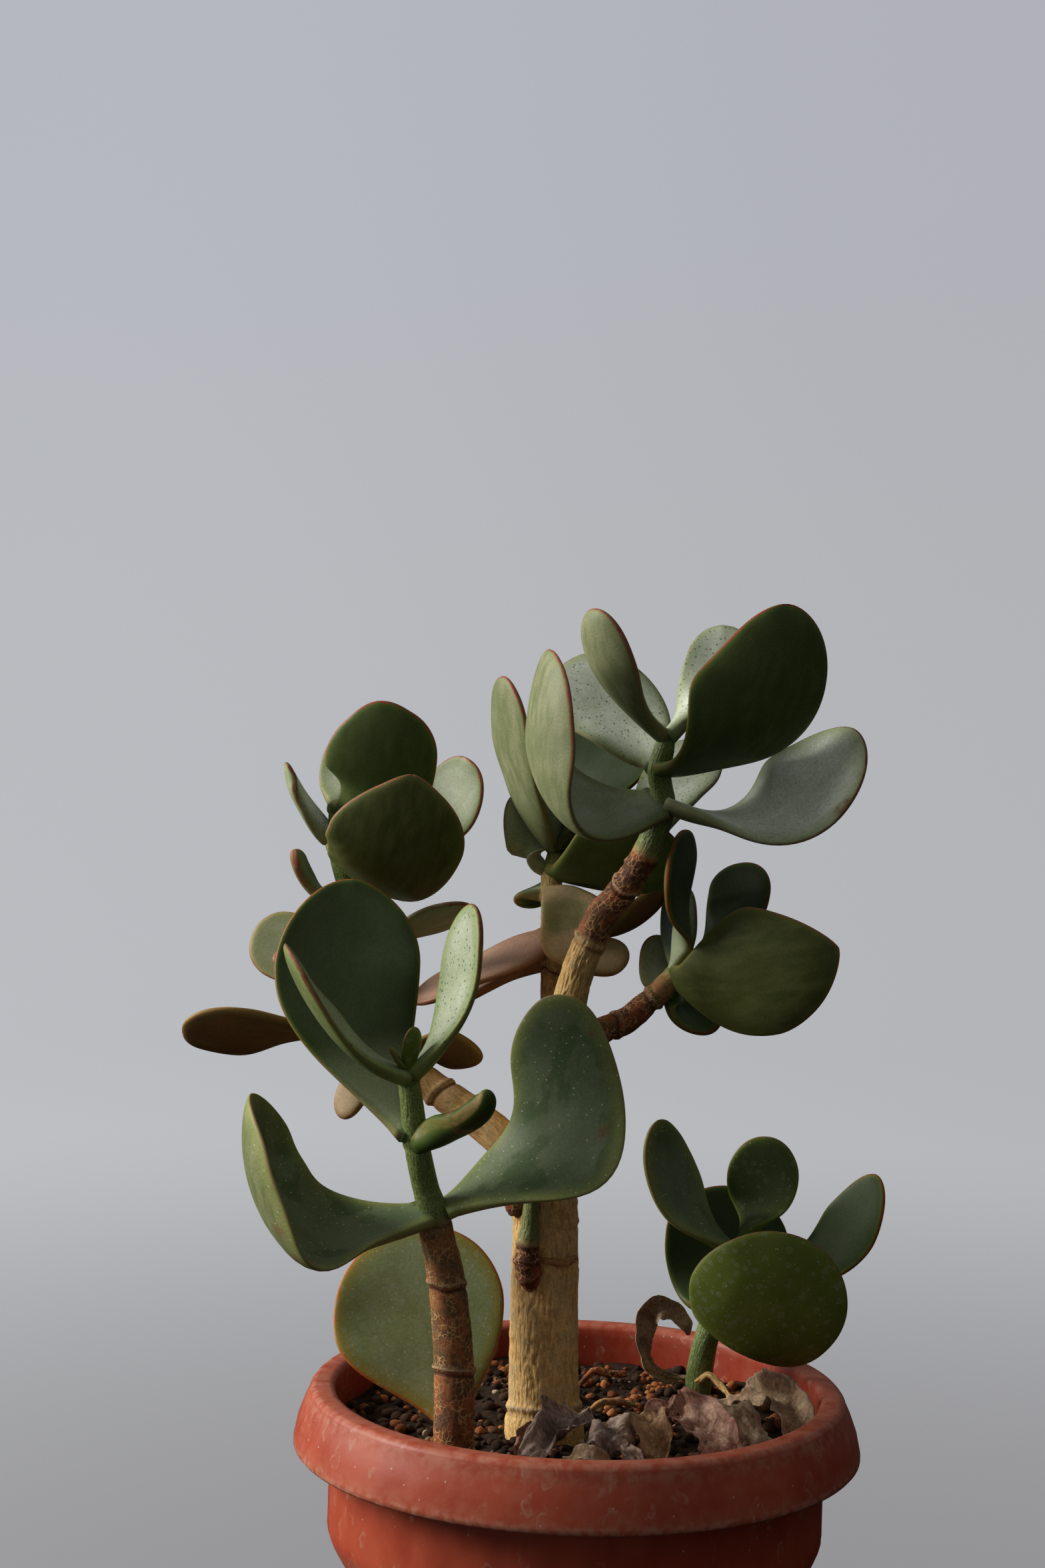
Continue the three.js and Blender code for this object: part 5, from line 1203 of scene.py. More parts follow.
STEMS = (
    Stem("trunk_bark", TRUNK_POINTS,
         ((0, 1, 0, 0), (0.5, 1, 0, 0), (0.565, 0.8, 0.2, 0), (0.58, 0.1, 0.9, 0), (0.715, 0, 1, 0),
          (0.73, 0, 0.1, 0.9), (0.75, 0, 0, 1), (1, 0, 0, 1)),
         (Ring(0.13, 0.7, 1.0), Ring(0.19, 0.2, 1.4), Ring(0.285, 0.35, 0.9), Ring(0.31, 0.25, 0.9),
          Ring(0.571, 0.6, 0.8), Ring(0.674, 0.7, 0.8), Ring(0.7, 0.4, 0.7)),
         sides=150, step=0.5, fissures=0.24, replaces=("trunk",)),
    Stem("limb_left", LEFT_LIMB_POINTS,
         ((0, 0.9, 0.1, 0), (0.3, 0.7, 0.3, 0), (0.5, 0.4, 0.6, 0), (0.6, 0, 0.4, 0.6), (0.75, 0, 0, 1),
          (1, 0, 0, 1)),
         (Ring(0.34, 0.6), Ring(0.42, 0.3)), fissures=0.1),
    Stem("limb_right", RIGHT_LIMB_POINTS,
         ((0, 0.3, 0.7, 0), (0.5, 0, 1, 0), (0.75, 0, 0.7, 0.3), (0.85, 0, 0, 1), (1, 0, 0, 1)),
         (Ring(0.36, 0.5), Ring(0.62, 0.5)), fissures=0.25, sides=48),
    Stem("limb_middle", MIDDLE_LIMB_POINTS,
         ((0, 1, 0, 0), (0.25, 0.4, 0.6, 0), (0.5, 0.4, 0.6, 0), (0.56, 1, 0, 0), (0.8, 0.8, 0, 0.2),
          (1, 0, 0, 1)),
         (Ring(0.5, 0.5), Ring(0.62, 0.5), Ring(0.75, 0.4)), fissures=0.3, sides=48),
    Stem("stem_front_skin", FRONT_STEM_POINTS,
         ((0, 0.2, 0.8, 0), (0.1, 0, 1, 0), (0.48, 0, 0.85, 0.15), (0.515, 0, 0.6, 0.4), (0.535, 0, 0, 1),
          (1, 0, 0, 1)),
         (Ring(0.14, 0.55), Ring(0.285, 0.55), Ring(0.395, 0.55), Ring(0.54, 0.35), Ring(0.77, 0.3)),
         fissures=0.2, slot=Slot.CORKY, replaces=("stem_front",), sides=72, step=0.5),
    Stem("trunk_bud",
         ((-14, -22, 185, 1.6), (-14.8, -25.2, 189, 3.6), (-15.4, -26.2, 194, 4.2), (-15.6, -26.4, 199, 3.4),
          (-14.8, -26.2, 204, 2.7), (-14.4, -25.6, 211, 2.3), (-14, -24.5, 219, 1.4)),
         ((0, 0, 1, 0), (0.5, 0, 1, 0), (0.6, 0, 0.1, 0.9), (1, 0, 0, 1)),
         (Ring(0.2, 0.5, 0.6, 0.2), Ring(0.36, 0.5, 0.6, 0.2), Ring(0.52, 0.4, 0.6, 0.2)),
         fissures=0.3, sides=28),
    Stem("trunk_knob",
         ((-13, -16, 207, 3), (-17.5, -18, 209.5, 4), (-20.5, -19, 211, 3.4), (-22.2, -19.5, 211.5, 1.5)),
         ((0, 0, 1, 0), (1, 0, 1, 0)), (Ring(0.5, 0.5, 0.7, 0.2),), fissures=0.6, sides=28),
    Stem("trunk_scar",
         ((-12, -25.2, 195, 0.7), (-8, -25.6, 194, 1.1), (-4, -24.8, 193.6, 1.2), (-0.5, -22.2, 194.4, 0.8)),
         ((0, 0.3, 0.7, 0), (1, 0.3, 0.7, 0)), fissures=0.6, sides=20, step=0.4),
    Stem("twig_red", ((2, 36, 139.5, 0.8), (7, 40, 143, 1.1), (12, 42, 141.8, 1.3), (18, 44, 141, 0.8)),
         ((0, 0, 1, 0), (1, 0, 1, 0)), fissures=0.5, sides=14, slot=Slot.DEAD),
    Stem("twig_bent", ((3, 3, 139, 0.7), (8, 6, 142, 1.0), (14, 8, 142, 1.1), (20, 9, 140, 0.7)),
         ((0, 0.3, 0.7, 0), (1, 0.3, 0.7, 0)), fissures=0.5, sides=14, slot=Slot.DEAD),
    Stem("twig_grey", ((40, 26, 143, 0.7), (44, 25, 146, 0.9), (48, 22, 143, 1.0), (51, 16, 140, 0.7)),
         ((0, 1, 0, 0), (1, 1, 0, 0)), fissures=0.4, sides=14, slot=Slot.DEAD),
    Stem("stem_offshoot_skin", OFFSHOOT_POINTS, ((0, 0, 0.2, 0.8), (0.15, 0, 0, 1), (1, 0, 0, 1)),
         (Ring(0.57, 0.2),), fissures=0.0, slot=Slot.STEM, replaces=("stem_offshoot",), sides=48),
)


@dataclass
class Wood:
    """The trunk with its limbs, the front stem and the offshoot."""

    stems: tuple[Stem, ...] = STEMS
    finish: StemFinish = StemFinish()

    FIRST_SEED = 700

    def build(self) -> None:
        """Makes every stem in the shared finish."""
        material = self.finish.material()
        for number, stem in enumerate(self.stems):
            stem.piece(self.FIRST_SEED + number).build(material, stem.replaces)


# Pot


@dataclass(frozen=True)
class PotFinish:
    """Moulded terracotta-coloured plastic with dust, dried drops and worn edges."""

    body: Colour = (0.43, 0.068, 0.028)
    deep: Colour = (0.35, 0.045, 0.018)
    inner: Colour = (0.3, 0.03, 0.012)
    dust: Colour = (0.45, 0.18, 0.115)
    worn: Colour = (0.54, 0.24, 0.16)

    def material(self) -> bpy.types.Material:
        """Returns the finish as a material, from the pot's own fields."""
        g = Graph("finish_pot")
        place = g.attribute("pot_place")
        worn_share, inner_share, dust_share = g.parts(g.attribute("pot_form"))
        cloud = g.noise(place, 0.04, 4.0)
        fine = g.noise(place, 0.9, 5.0)
        colour = g.mix(g.step(cloud, 0.35, 0.65), self.deep, self.body)
        colour = g.mix(inner_share, colour, self.inner)
        film = g.times(dust_share, g.step(g.noise(place, 0.16, 5.0), 0.38, 0.75, 0.0, 0.6))
        colour = g.mix(film, colour, self.dust)
        bent = g.warped(place, 0.25, 5.0)
        far, tone = g.cells(bent, 0.16, "F1", (1.0, 0.55, 1.0))
        chosen = g.step(g.parts(tone)[0], 0.45, 0.65)
        ring = g.times(g.step(far, 0.22, 0.34), g.step(far, 0.36, 0.42, 1.0, 0.0))
        drop = g.times(g.plus(ring, g.step(far, 0.0, 0.36, 0.3, 0.0)), chosen)
        drop = g.times(drop, g.step(g.noise(place, 0.3, 3.0), 0.35, 0.65, 0.0, 0.75))
        colour = g.mix(drop, colour, self.dust)
        speck_far, speck_tone = g.cells(place, 0.35)
        speck = g.times(g.step(speck_far, 0.05, 0.14, 1.0, 0.0), g.step(g.parts(speck_tone)[1], 0.7, 0.8))
        colour = g.mix(g.times(speck, 0.8), colour, (0.6, 0.42, 0.34))
        rub = g.times(worn_share, g.step(g.noise(place, 0.35, 5.0), 0.35, 0.65, 0.15, 1.0))
        colour = g.mix(rub, colour, self.worn)
        roughness = g.plus(g.step(cloud, 0.3, 0.7, 0.4, 0.52), g.times(film, 0.25))
        height = g.plus(g.times(fine, 0.4), g.times(drop, 0.4))
        return g.surface(colour, roughness, height, 0.06, {"Specular IOR Level": 0.3})


@dataclass
class Pot:
    """The moulded pot: a tapered shell with a shoulder, a neck and a hollow skirt under its rim."""

    sides: int = 240
    drain_holes: int = 8
    drain_radius: float = 3.5
    drain_circle: float = 38.0
    finish: PotFinish = PotFinish()

    SEED = 31
    ROW_STEP = 2.5

    def profile(self) -> tuple[Array, Array]:
        """The section from the middle of the base, up the outside and down the inside.

        Returns:
            Points of radius and height, and for each its shares of wear, of inner wall and of dust.
        """
        rim, neck, waist, base = RIM_RADIUS, NECK_RADIUS, WAIST_RADIUS, BASE_RADIUS
        lip = POT_HEIGHT - SKIRT_HEIGHT
        top = POT_HEIGHT
        rows = [
            (0, 0, 0, 0, 0),
            (base - 1.2, 0, 0.3, 0, 0),
            (base, 1.2, 0.6, 0, 0.1),
            (waist, SHOULDER_BASE, 0, 0, 0.1),
            (waist + 0.4, SHOULDER_BASE + 1, 0, 0, 0.1),
            (waist + 1.9, SHOULDER_BASE + 2.6, 0.5, 0, 0.2),
            (neck - 1.4, SHOULDER_TOP - 3.9, 0.4, 0, 0.2),
            (neck - 0.3, SHOULDER_TOP - 1.2, 0.2, 0, 0.1),
            (neck, SHOULDER_TOP, 0, 0, 0.1),
            (neck, top - 3, 0, 0, 0),
            (neck + 3, top - 3, 0, 0, 0),
            (rim - 2.6, lip + 0.4, 0.2, 0, 0),
            (rim - 2, lip, 0.9, 0, 0.2),
            (rim - 0.6, lip + 0.1, 1, 0, 0.4),
            (rim, lip + 0.8, 1, 0, 0.5),
            (rim, lip + 2.0, 0.7, 0, 0.4),
            (rim - 0.25, lip + 3.2, 0.2, 0, 0.3),
            (rim - 1.1, lip + 7.4, 0, 0, 0.3),
            (rim - 2.9, lip + 12.4, 0.1, 0, 0.35),
            (rim - 4.6, top - 2.3, 0.5, 0, 0.6),
            (rim - 4.7, top - 1.7, 0.2, 0, 0.6),
            (rim - 5.2, top - 1.0, 0.5, 0, 0.8),
            (rim - 6, top - 0.2, 0.6, 0, 1),
            (rim - 7, top, 0.3, 0, 1),
            (neck + 0.7, top, 0.3, 0, 1),
            (neck - 0.9, top - 0.5, 0.4, 0.3, 0.7),
            (neck - WALL + 0.3, top - 1.8, 0.1, 0.8, 0.2),
            (neck - WALL + 0.3, SHOULDER_TOP + 1.5, 0, 1, 0),
            (neck - 3.4, SHOULDER_BASE + 7, 0, 1, 0),
            (waist - 0.3, SHOULDER_BASE + 3, 0, 1, 0),
            (waist - WALL, SHOULDER_BASE - 2, 0, 1, 0),
            (base - 1.8, WALL + 1.5, 0, 1, 0),
            (base - 3, WALL + 0.5, 0, 1, 0),
            (0, WALL + 0.5, 0, 1, 0),
        ]
        fine = []
        for before, after in zip(rows[:-1], rows[1:]):
            a, b = np.array(before, float), np.array(after, float)
            steps = max(1, int(np.linalg.norm(b[:2] - a[:2]) / self.ROW_STEP))
            fine += [a + (b - a) * step / steps for step in range(steps)]
        fine.append(np.array(rows[-1], float))
        table = np.array(fine)
        return table[:, :2], table[:, 2:]

    def shell(self) -> Piece:
        """Returns the lathe-turned shell with the moulding's faint waves, before its holes are cut."""
        section, shares = self.profile()
        clouds = Clouds(self.SEED)
        radius = np.repeat(section[:, 0], self.sides)
        height = np.repeat(section[:, 1], self.sides)
        angle = np.tile(circle_angles(self.sides), len(section))
        round_about = np.column_stack([np.cos(angle) * radius, np.sin(angle) * radius, height])
        outer = np.repeat(1 - shares[:, 1], self.sides) * smooth(radius, 50, 60)
        neck = smooth(height, 100, 108) * smooth(-height, -142, -131) * smooth(-radius, -80, -78.5)
        drips = clouds.layered(np.column_stack([round_about[:, :2] / 5.5, height / 14]) + 9, 2) - 0.5
        waves = clouds(round_about / 30 + 3) - 0.5
        push = np.minimum(outer * (0.35 * waves + neck * 1.3 * drips), 0.25)
        scale = (radius + push) / np.maximum(radius, 1e-6)
        points = np.column_stack([round_about[:, 0] * scale, round_about[:, 1] * scale, height])
        fields = {
            "pot_place": np.column_stack([angle * RIM_RADIUS, height, radius]),
            "pot_form": np.repeat(shares, self.sides, axis=0),
        }
        return Piece("pot_shell", Slot.POT, points, wall_faces(len(section), self.sides), fields)

    def build(self) -> None:
        """Makes the pot and cuts its drain holes."""
        shell = self.shell().build(self.finish.material(), ["pot"])
        work = bmesh.new()
        radius = self.drain_radius * MM
        for number in range(self.drain_holes):
            turn = 2 * math.pi * (number + 0.5) / self.drain_holes
            spot = (
                self.drain_circle * math.cos(turn) * MM,
                self.drain_circle * math.sin(turn) * MM,
                WALL / 2 * MM,
            )
            made = bmesh.ops.create_cone(
                work, cap_ends=True, segments=32, radius1=radius, radius2=radius, depth=3 * WALL * MM
            )
            bmesh.ops.translate(work, verts=made["verts"], vec=spot)
        mesh = bpy.data.meshes.new("drain_cutter")
        work.to_mesh(mesh)
        work.free()
        cutter = bpy.data.objects.new("drain_cutter", mesh)
        bpy.context.scene.collection.objects.link(cutter)
        cut = shell.modifiers.new("drains", "BOOLEAN")
        cut.operation = "DIFFERENCE"
        cut.solver = "EXACT"
        cut.object = cutter
        bpy.context.view_layer.update()
        evaluated = shell.evaluated_get(bpy.context.evaluated_depsgraph_get())
        shell.data = bpy.data.meshes.new_from_object(evaluated)
        shell.modifiers.clear()
        bpy.data.objects.remove(cutter)


# Soil


# The heap of soil round the offshoot, and the round clearings that the stems stand in
MOUND = (39.0, 32.0)
STEM_CLEARINGS = ((-10.0, -15.0, 12.5), (-37.3, -48.0, 7.0), (40.6, 31.0, 5.4))


def soil_height(x: Array, y: Array) -> Array:
    """Returns the height of the soil's top at each x and y, in millimetres, with a mound at the offshoot."""
    mound = 3.5 * np.exp(-((x - MOUND[0]) ** 2 + (y - MOUND[1]) ** 2) / 220)
    return (
        SOIL_TOP + mound + 0.8 * np.sin(0.11 * x + 0.6) * np.cos(0.13 * y)
        + 0.6 * np.sin(0.23 * y - 0.17 * x) + 0.4 * np.cos(0.31 * x + 0.9)
    )


@dataclass(frozen=True)
class CrumbFinish:
    """The look of soil crumbs or of baked granules: two colours, mixed from crumb to crumb."""

    name: str
    dark: Colour
    light: Colour
    roughness: float = 0.9

    def material(self) -> bpy.types.Material:
        """Returns the finish as a material, from the crumbs' own tone field."""
        g = Graph("finish_" + self.name)
        place = g.attribute("crumb_place")
        tone, _, _ = g.parts(g.attribute("crumb_form"))
        fine = g.noise(place, 2.2, 5.0)
        patchy = g.noise(place, 0.5, 3.0)
        share = g.plus(g.times(tone, 0.75), g.step(patchy, 0.4, 0.7, 0.0, 0.3))
        colour = g.mix(share, self.dark, self.light)
        colour = g.mottled(colour, g.step(fine, 0.3, 0.7), 0.65, 1.2)
        return g.surface(colour, self.roughness, fine, 0.3, {"Specular IOR Level": 0.2})


SOIL_FINISH = CrumbFinish("soil", (0.018, 0.01, 0.006), (0.06, 0.032, 0.017))
CRUMB_FINISH = CrumbFinish("crumbs", (0.014, 0.008, 0.005), (0.09, 0.046, 0.024))
GRANULE_FINISH = CrumbFinish("granules", (0.16, 0.04, 0.013), (0.54, 0.2, 0.06), 0.8)
PUMICE_FINISH = CrumbFinish("pumice", (0.3, 0.2, 0.11), (0.52, 0.42, 0.28), 0.85)


@dataclass(frozen=True)
class Lumps:
    """One sort of small lump on the soil: its look, how many, the least and greatest radius, and a seed.

    clumped goes from 0 for even scatter to 1 for clumps.
    """

    name: str
    finish: CrumbFinish
    count: int
    sizes: tuple[float, float]
    clumped: float
    seed: int


SOIL_LUMPS = (
    Lumps("soil_crumbs", CRUMB_FINISH, 900, (0.6, 2.2), 0.0, 81),
    Lumps("soil_granules", GRANULE_FINISH, 420, (0.9, 2.1), 0.9, 82),
    Lumps("soil_pumice", PUMICE_FINISH, 60, (0.6, 1.5), 0.5, 83),
)


@dataclass
class Soil:
    """The potting soil: a rough bed, with dark crumbs, baked granules and pale pumice lying in it."""

    rings: int = 90
    sides: int = 220
    reach: float = NECK_RADIUS - WALL - 0.4
    skirt: float = 12.0
    lumps: tuple[Lumps, ...] = SOIL_LUMPS

    BED_SEED = 57
    CLUMP_SEED = 77

    def bed(self) -> Piece:
        """Returns the soil's rough top, closed below by a plain underside."""
        clouds = Clouds(self.BED_SEED)
        radii = np.linspace(self.reach, 0.3, self.rings)
        turn = circle_angles(self.sides)
        x = (radii[:, None] * np.cos(turn)[None, :]).ravel()
        y = (radii[:, None] * np.sin(turn)[None, :]).ravel()
        rough = clouds.layered(as_field(x / 4.5, y / 4.5) + 4, 3) - 0.5
        z = soil_height(x, y) + 2.4 * rough
        low = np.full(self.sides, SOIL_TOP - self.skirt)
        foot = np.column_stack([self.reach * np.cos(turn), self.reach * np.sin(turn), low])
        points = np.vstack([foot, np.column_stack([x, y, z])])
        tone = np.concatenate([np.zeros(self.sides), np.clip(rough + 0.5, 0, 1) ** 2])
        fields = {"crumb_place": points, "crumb_form": as_field(tone)}
        return Piece("soil_bed", Slot.SOIL, points, tube_faces(self.rings + 1, self.sides), fields)

    def open_places(self, count: int, rng: np.random.Generator, clumped: float) -> Array:
        """Random places on the soil, outside the stems.

        Args:
            count: how many.
            rng: the source of chance.
            clumped: from 0 for even scatter to 1 for clumps.

        Returns:
            Places of x and y, one a row.
        """
        clouds = Clouds(self.CLUMP_SEED)
        kept = []
        while len(kept) < count:
            radius = (self.reach - 2.5) * math.sqrt(rng.random())
            angle = 2 * math.pi * rng.random()
            x, y = radius * math.cos(angle), radius * math.sin(angle)
            clump = float(clouds(np.array([[x / 15 + 3, y / 15 + 3, 0.5]]))[0])
            if rng.random() < clumped * smooth(clump, 0.75, 0.3):
                continue
            if all(math.hypot(x - sx, y - sy) > clear for sx, sy, clear in STEM_CLEARINGS):
                kept.append((x, y))
        return np.array(kept)

    def scatter(self, lumps: Lumps) -> Piece:
        """Many small angular lumps, half sunk in the bed.

        Args:
            lumps: their sort.

        Returns:
            The piece.
        """
        rng = np.random.default_rng(lumps.seed)
        clouds = Clouds(lumps.seed)
        least, most = lumps.sizes
        ball = bmesh.new()
        bmesh.ops.create_icosphere(ball, subdivisions=2, radius=1.0)
        shape = np.array([v.co for v in ball.verts])
        ball_faces = np.array([[v.index for v in f.verts] for f in ball.faces])
        ball.free()
        points, faces, tones = [], [], []
        for number, (x, y) in enumerate(self.open_places(lumps.count, rng, lumps.clumped)):
            size = least + (most - least) * rng.random() ** 1.8
            turned = shape @ np.linalg.qr(rng.normal(size=(3, 3)))[0]
            bumpy = 0.72 + 0.56 * clouds(turned * 1.2 + 3.7 * number)
            lump = turned * bumpy[:, None] * size * (1, 1, 0.8)
            lump = lump + (x, y, float(soil_height(np.array(x), np.array(y))) + size * 0.35)
            faces.append(ball_faces + number * len(shape))
            points.append(lump)
            tones.append(np.full(len(shape), rng.random()))
        stacked = np.vstack(points)
        triangles = [tuple(face) for face in np.vstack(faces).tolist()]
        fields = {"crumb_place": stacked, "crumb_form": as_field(np.concatenate(tones))}
        return Piece(lumps.name, Slot.SOIL, stacked, triangles, fields, weld=0.0)

    def build(self) -> None:
        """Makes the bed and the lumps that lie in it."""
        self.bed().build(SOIL_FINISH.material(), ["soil"])
        for lumps in self.lumps:
            self.scatter(lumps).build(lumps.finish.material())


# Dead leaves


@dataclass(frozen=True)
class DryFinish:
    """A dry leaf's skin: two tones, a darker inside and pinkish edges."""

    name: str
    pale: Colour
    dark: Colour
    edge: Colour

    def material(self) -> bpy.types.Material:
        """Returns the finish as a material, from the dry leaf's own fields."""
        g = Graph("finish_" + self.name)
        place = g.attribute("leaf_place")
        edge, side, _ = g.parts(g.attribute("leaf_form"))
        patchy = g.noise(place, 0.16, 5.0)
        fine = g.noise(place, 1.3, 5.0)
        far, _ = g.cells(g.warped(place, 0.5, 2.0), 0.3, "DISTANCE_TO_EDGE", (1.0, 0.5, 1.0))
        vein = g.step(far, 0.0, 0.1, 0.5, 0.0)
        colour = g.mix(g.step(patchy, 0.38, 0.62), self.dark, self.pale)
        rim = g.times(g.step(edge, 0.4, 2.2, 0.8, 0.0), g.step(fine, 0.3, 0.6))
        colour = g.mix(rim, colour, self.edge)
        colour = g.mix(vein, colour, self.dark)
        colour = g.mottled(colour, g.step(fine, 0.3, 0.7), 0.7, 1.25)
        colour = g.mix(g.step(side, 0.0, 1.0, 0.25, 0.0), colour, self.dark)
        height = g.plus(g.times(fine, 0.6), g.times(vein, 0.4))
        return g.surface(colour, 0.85, height, 0.35, {"Specular IOR Level": 0.25, "Sheen Weight": 0.1})


DRY_TAN = DryFinish("dry_tan", (0.52, 0.38, 0.25), (0.27, 0.17, 0.1), (0.42, 0.29, 0.19))
DRY_GREY = DryFinish("dry_grey", (0.5, 0.37, 0.3), (0.17, 0.11, 0.09), (0.52, 0.37, 0.29))
DRY_BROWN = DryFinish("dry_brown", (0.58, 0.38, 0.2), (0.22, 0.11, 0.055), (0.4, 0.24, 0.12))
DRY_PINK = DryFinish("dry_pink", (0.66, 0.43, 0.32), (0.3, 0.14, 0.095), (0.5, 0.25, 0.19))
DRY_FINISHES = (DRY_TAN, DRY_GREY, DRY_BROWN, DRY_PINK)


@dataclass(frozen=True)
class DryLeaf:
    """A crumpled sheet along points of x, y, height over the soil and width."""

    name: str
    finish: DryFinish
    points: tuple[tuple[float, float, float, float], ...]
    face: Point
    crumple: float
    replaces: tuple[str, ...] = ()
    curl: float = 0.55
    ragged: float = 0.35
    thickness: float = 0.55
    clearance: float = 0.2

    ROWS = 56
    COLUMNS = 22
    FIRST_SEED = 900

    def piece(self, seed: int) -> Piece:
        """Builds the sheet, lets it down onto the soil and gives it its fields.

        Args:
            seed: picks its crumples.

        Returns:
            The piece.
        """
        clouds = Clouds(self.FIRST_SEED + seed)
        knots = np.array(self.points, float)
        along = np.linspace(0, 1, self.ROWS + 1)
        line = through(knots[:, :3] + (0, 0, SOIL_TOP), along)
        width = np.interp(along * (len(knots) - 1), np.arange(len(knots)), knots[:, 3])
        tangent = directions(line)
        upper = unit(np.array(self.face, float))
        normal = unit(upper - (tangent @ upper)[:, None] * tangent)
        across = np.linspace(-1, 1, self.COLUMNS + 1)
        run = along * float(np.linalg.norm(np.diff(line, axis=0), axis=1).sum())
        left, right = (
            clouds.layered(as_field(run / 3.2, np.full(len(run), 9.0 * side)), 2) for side in (1, 2)
        )
        reach = np.where(across[None, :] < 0, left[:, None], right[:, None])
        fringe = 1 + self.ragged * 2 * (reach - 0.55) * np.abs(across)[None, :]
        ends = 0.45 + 0.55 * np.sqrt(np.clip(np.minimum(along, 1 - along) / 0.09, 0, 1))
        x = across[None, :] * (width * ends)[:, None] / 2 * fringe
        grid = flattened(x, run)
        ruffle = (clouds(as_field(grid / (9, 4.2)) + 20) - 0.5).reshape(x.shape)
        swell = 1.5 * np.sin(9 * along[:, None] + 3 * across[None, :])
        wave = self.crumple * (swell + 15.0 * ruffle * np.abs(across)[None, :] ** 1.2)
        rolled = 1.3 * self.curl * (width / 2)[:, None] * np.abs(across)[None, :] ** 1.8
        folds = clouds.layered(as_field(grid / (1.9, 5.5)) + 2, 3)
        creased = (np.abs(2 * folds - 1) - 0.25).reshape(x.shape)
        sheet = wave + rolled + (0.4 + 1.6 * self.crumple) * 1.7 * creased
        depth = self.thickness / 2
        points = both_faces(line, np.cross(tangent, normal), normal, x, (sheet + depth, sheet - depth))
        over = points[:, 2] - soil_height(points[:, 0], points[:, 1])
        points[:, 2] += self.clearance - over.min()
        upper_side = np.repeat((1.0, 0.0), len(grid))
        shares = np.tile(np.repeat(along, len(across)), 2)
        fields = {
            "leaf_place": np.column_stack([np.tile(grid, (2, 1)), np.full(2 * len(grid), 40.0 * seed)]),
            "leaf_form": np.column_stack([np.tile(edge_distance(x, run), 2), upper_side, shares]),
        }
        return Piece(self.name, Slot.DEAD, points, sheet_faces(self.ROWS, self.COLUMNS), fields)


DRY_LEAVES = (
    DryLeaf("dry_curled", DRY_TAN,
            ((38.5, 41, 3, 2.4), (34, 38, 3, 3.2), (29, 34.5, 5, 3.4), (25, 31, 9, 3.6), (22.3, 28, 15, 4.2),
             (21.4, 25.5, 22, 6.5), (23, 23, 28.5, 9.5), (27.5, 21, 31, 8.5), (32, 20.5, 29.5, 6),
             (35.3, 21, 25.5, 4), (36.6, 22, 22, 2)),
            (0.4, -0.9, 0.2), 0.2, ("dead_leaf_curled",), curl=0.4, ragged=0.25),
    DryLeaf("dry_right", DRY_TAN,
            ((45, 6, 7, 5), (51, 2, 9, 9), (58, -3, 12, 12), (63.5, -6, 14, 12), (66.5, -10, 10, 12),
             (67, -14, 2, 8)),
            (0.1, -0.6, 0.8), 0.5, ("dead_leaf_right",), curl=0.8),
    DryLeaf("dry_left", DRY_GREY,
            ((3, -34, 14, 4), (0, -36, 11, 9), (-6, -38, 7, 14), (-12, -41, 4, 12), (-18, -44, 1, 6)),
            (0.1, -0.5, 0.85), 0.85, ("dead_leaf_left",), curl=0.7),
    DryLeaf("dry_front", DRY_GREY,
            ((2, -52, 3, 7), (6, -48, 6, 13), (11, -44, 8, 15), (16, -40, 9, 9)),
            (-0.1, -0.6, 0.8), 0.85, ("dead_leaf_front",), curl=-0.6),
    DryLeaf("dry_cup", DRY_BROWN,
            ((24, -54, 1, 6), (23, -49, 6, 10), (22, -44, 12, 11), (23, -40, 14, 7)),
            (-0.3, -0.6, 0.8), 0.7, ("dead_leaf_cup",), curl=0.9),
    DryLeaf("dry_tall", DRY_PINK,
            ((25, -22, 1, 5), (26, -24, 7, 6), (24, -27, 12, 6), (27, -30, 14, 5), (30, -29, 17, 3)),
            (-0.2, -0.8, 0.5), 0.4, ("dead_leaf_tall",)),
    DryLeaf("dry_pink", DRY_PINK,
            ((30, -34, 12, 7), (35, -38, 13, 12), (41, -42, 8, 14), (46, -46, 2, 8)),
            (-0.2, -0.6, 0.8), 0.85, ("dead_leaf_pink",), curl=0.8),
    DryLeaf("dry_pale", DRY_TAN,
            ((43, -24, 13, 5), (47, -27, 12, 11), (52, -31, 7, 14), (55, -35, 2, 9)),
            (-0.1, -0.6, 0.8), 0.85, ("dead_leaf_pale",), curl=-0.7),
    DryLeaf("dry_bit_left", DRY_PINK,
            ((-18, -37, 3, 3), (-15, -36, 7, 8), (-11, -35, 11, 6)),
            (-0.2, -0.8, 0.5), 0.6, curl=0.5),
    DryLeaf("dry_bit_low", DRY_TAN,
            ((-4, -53, 1, 4), (0, -56, 3, 7), (6, -58, 3, 8), (11, -58, 1, 4)),
            (0, -0.5, 0.85), 0.5, curl=0.9),
    DryLeaf("dry_bit_shard", DRY_GREY,
            ((12, -50, 9, 3), (15, -52, 6, 6), (18, -55, 1, 4)),
            (-0.4, -0.7, 0.6), 0.4),
    DryLeaf("dry_bit_stalk", DRY_PINK,
            ((21, -42, 13, 2), (25, -40, 17, 3.5), (27, -37, 21, 5), (29, -35, 22, 2.5)),
            (-0.5, -0.8, 0.2), 0.4),
    DryLeaf("dry_bit_right", DRY_PINK,
            ((33, -48, 2, 4), (37, -51, 4, 8), (42, -52, 1, 5)),
            (0, -0.6, 0.8), 0.6, curl=0.9),
    DryLeaf("dry_bit_dark", DRY_BROWN,
            ((2, -44, 2, 4), (6, -41, 6, 8), (10, -38, 10, 7), (13, -36, 11, 3)),
            (-0.3, -0.6, 0.7), 0.5),
)


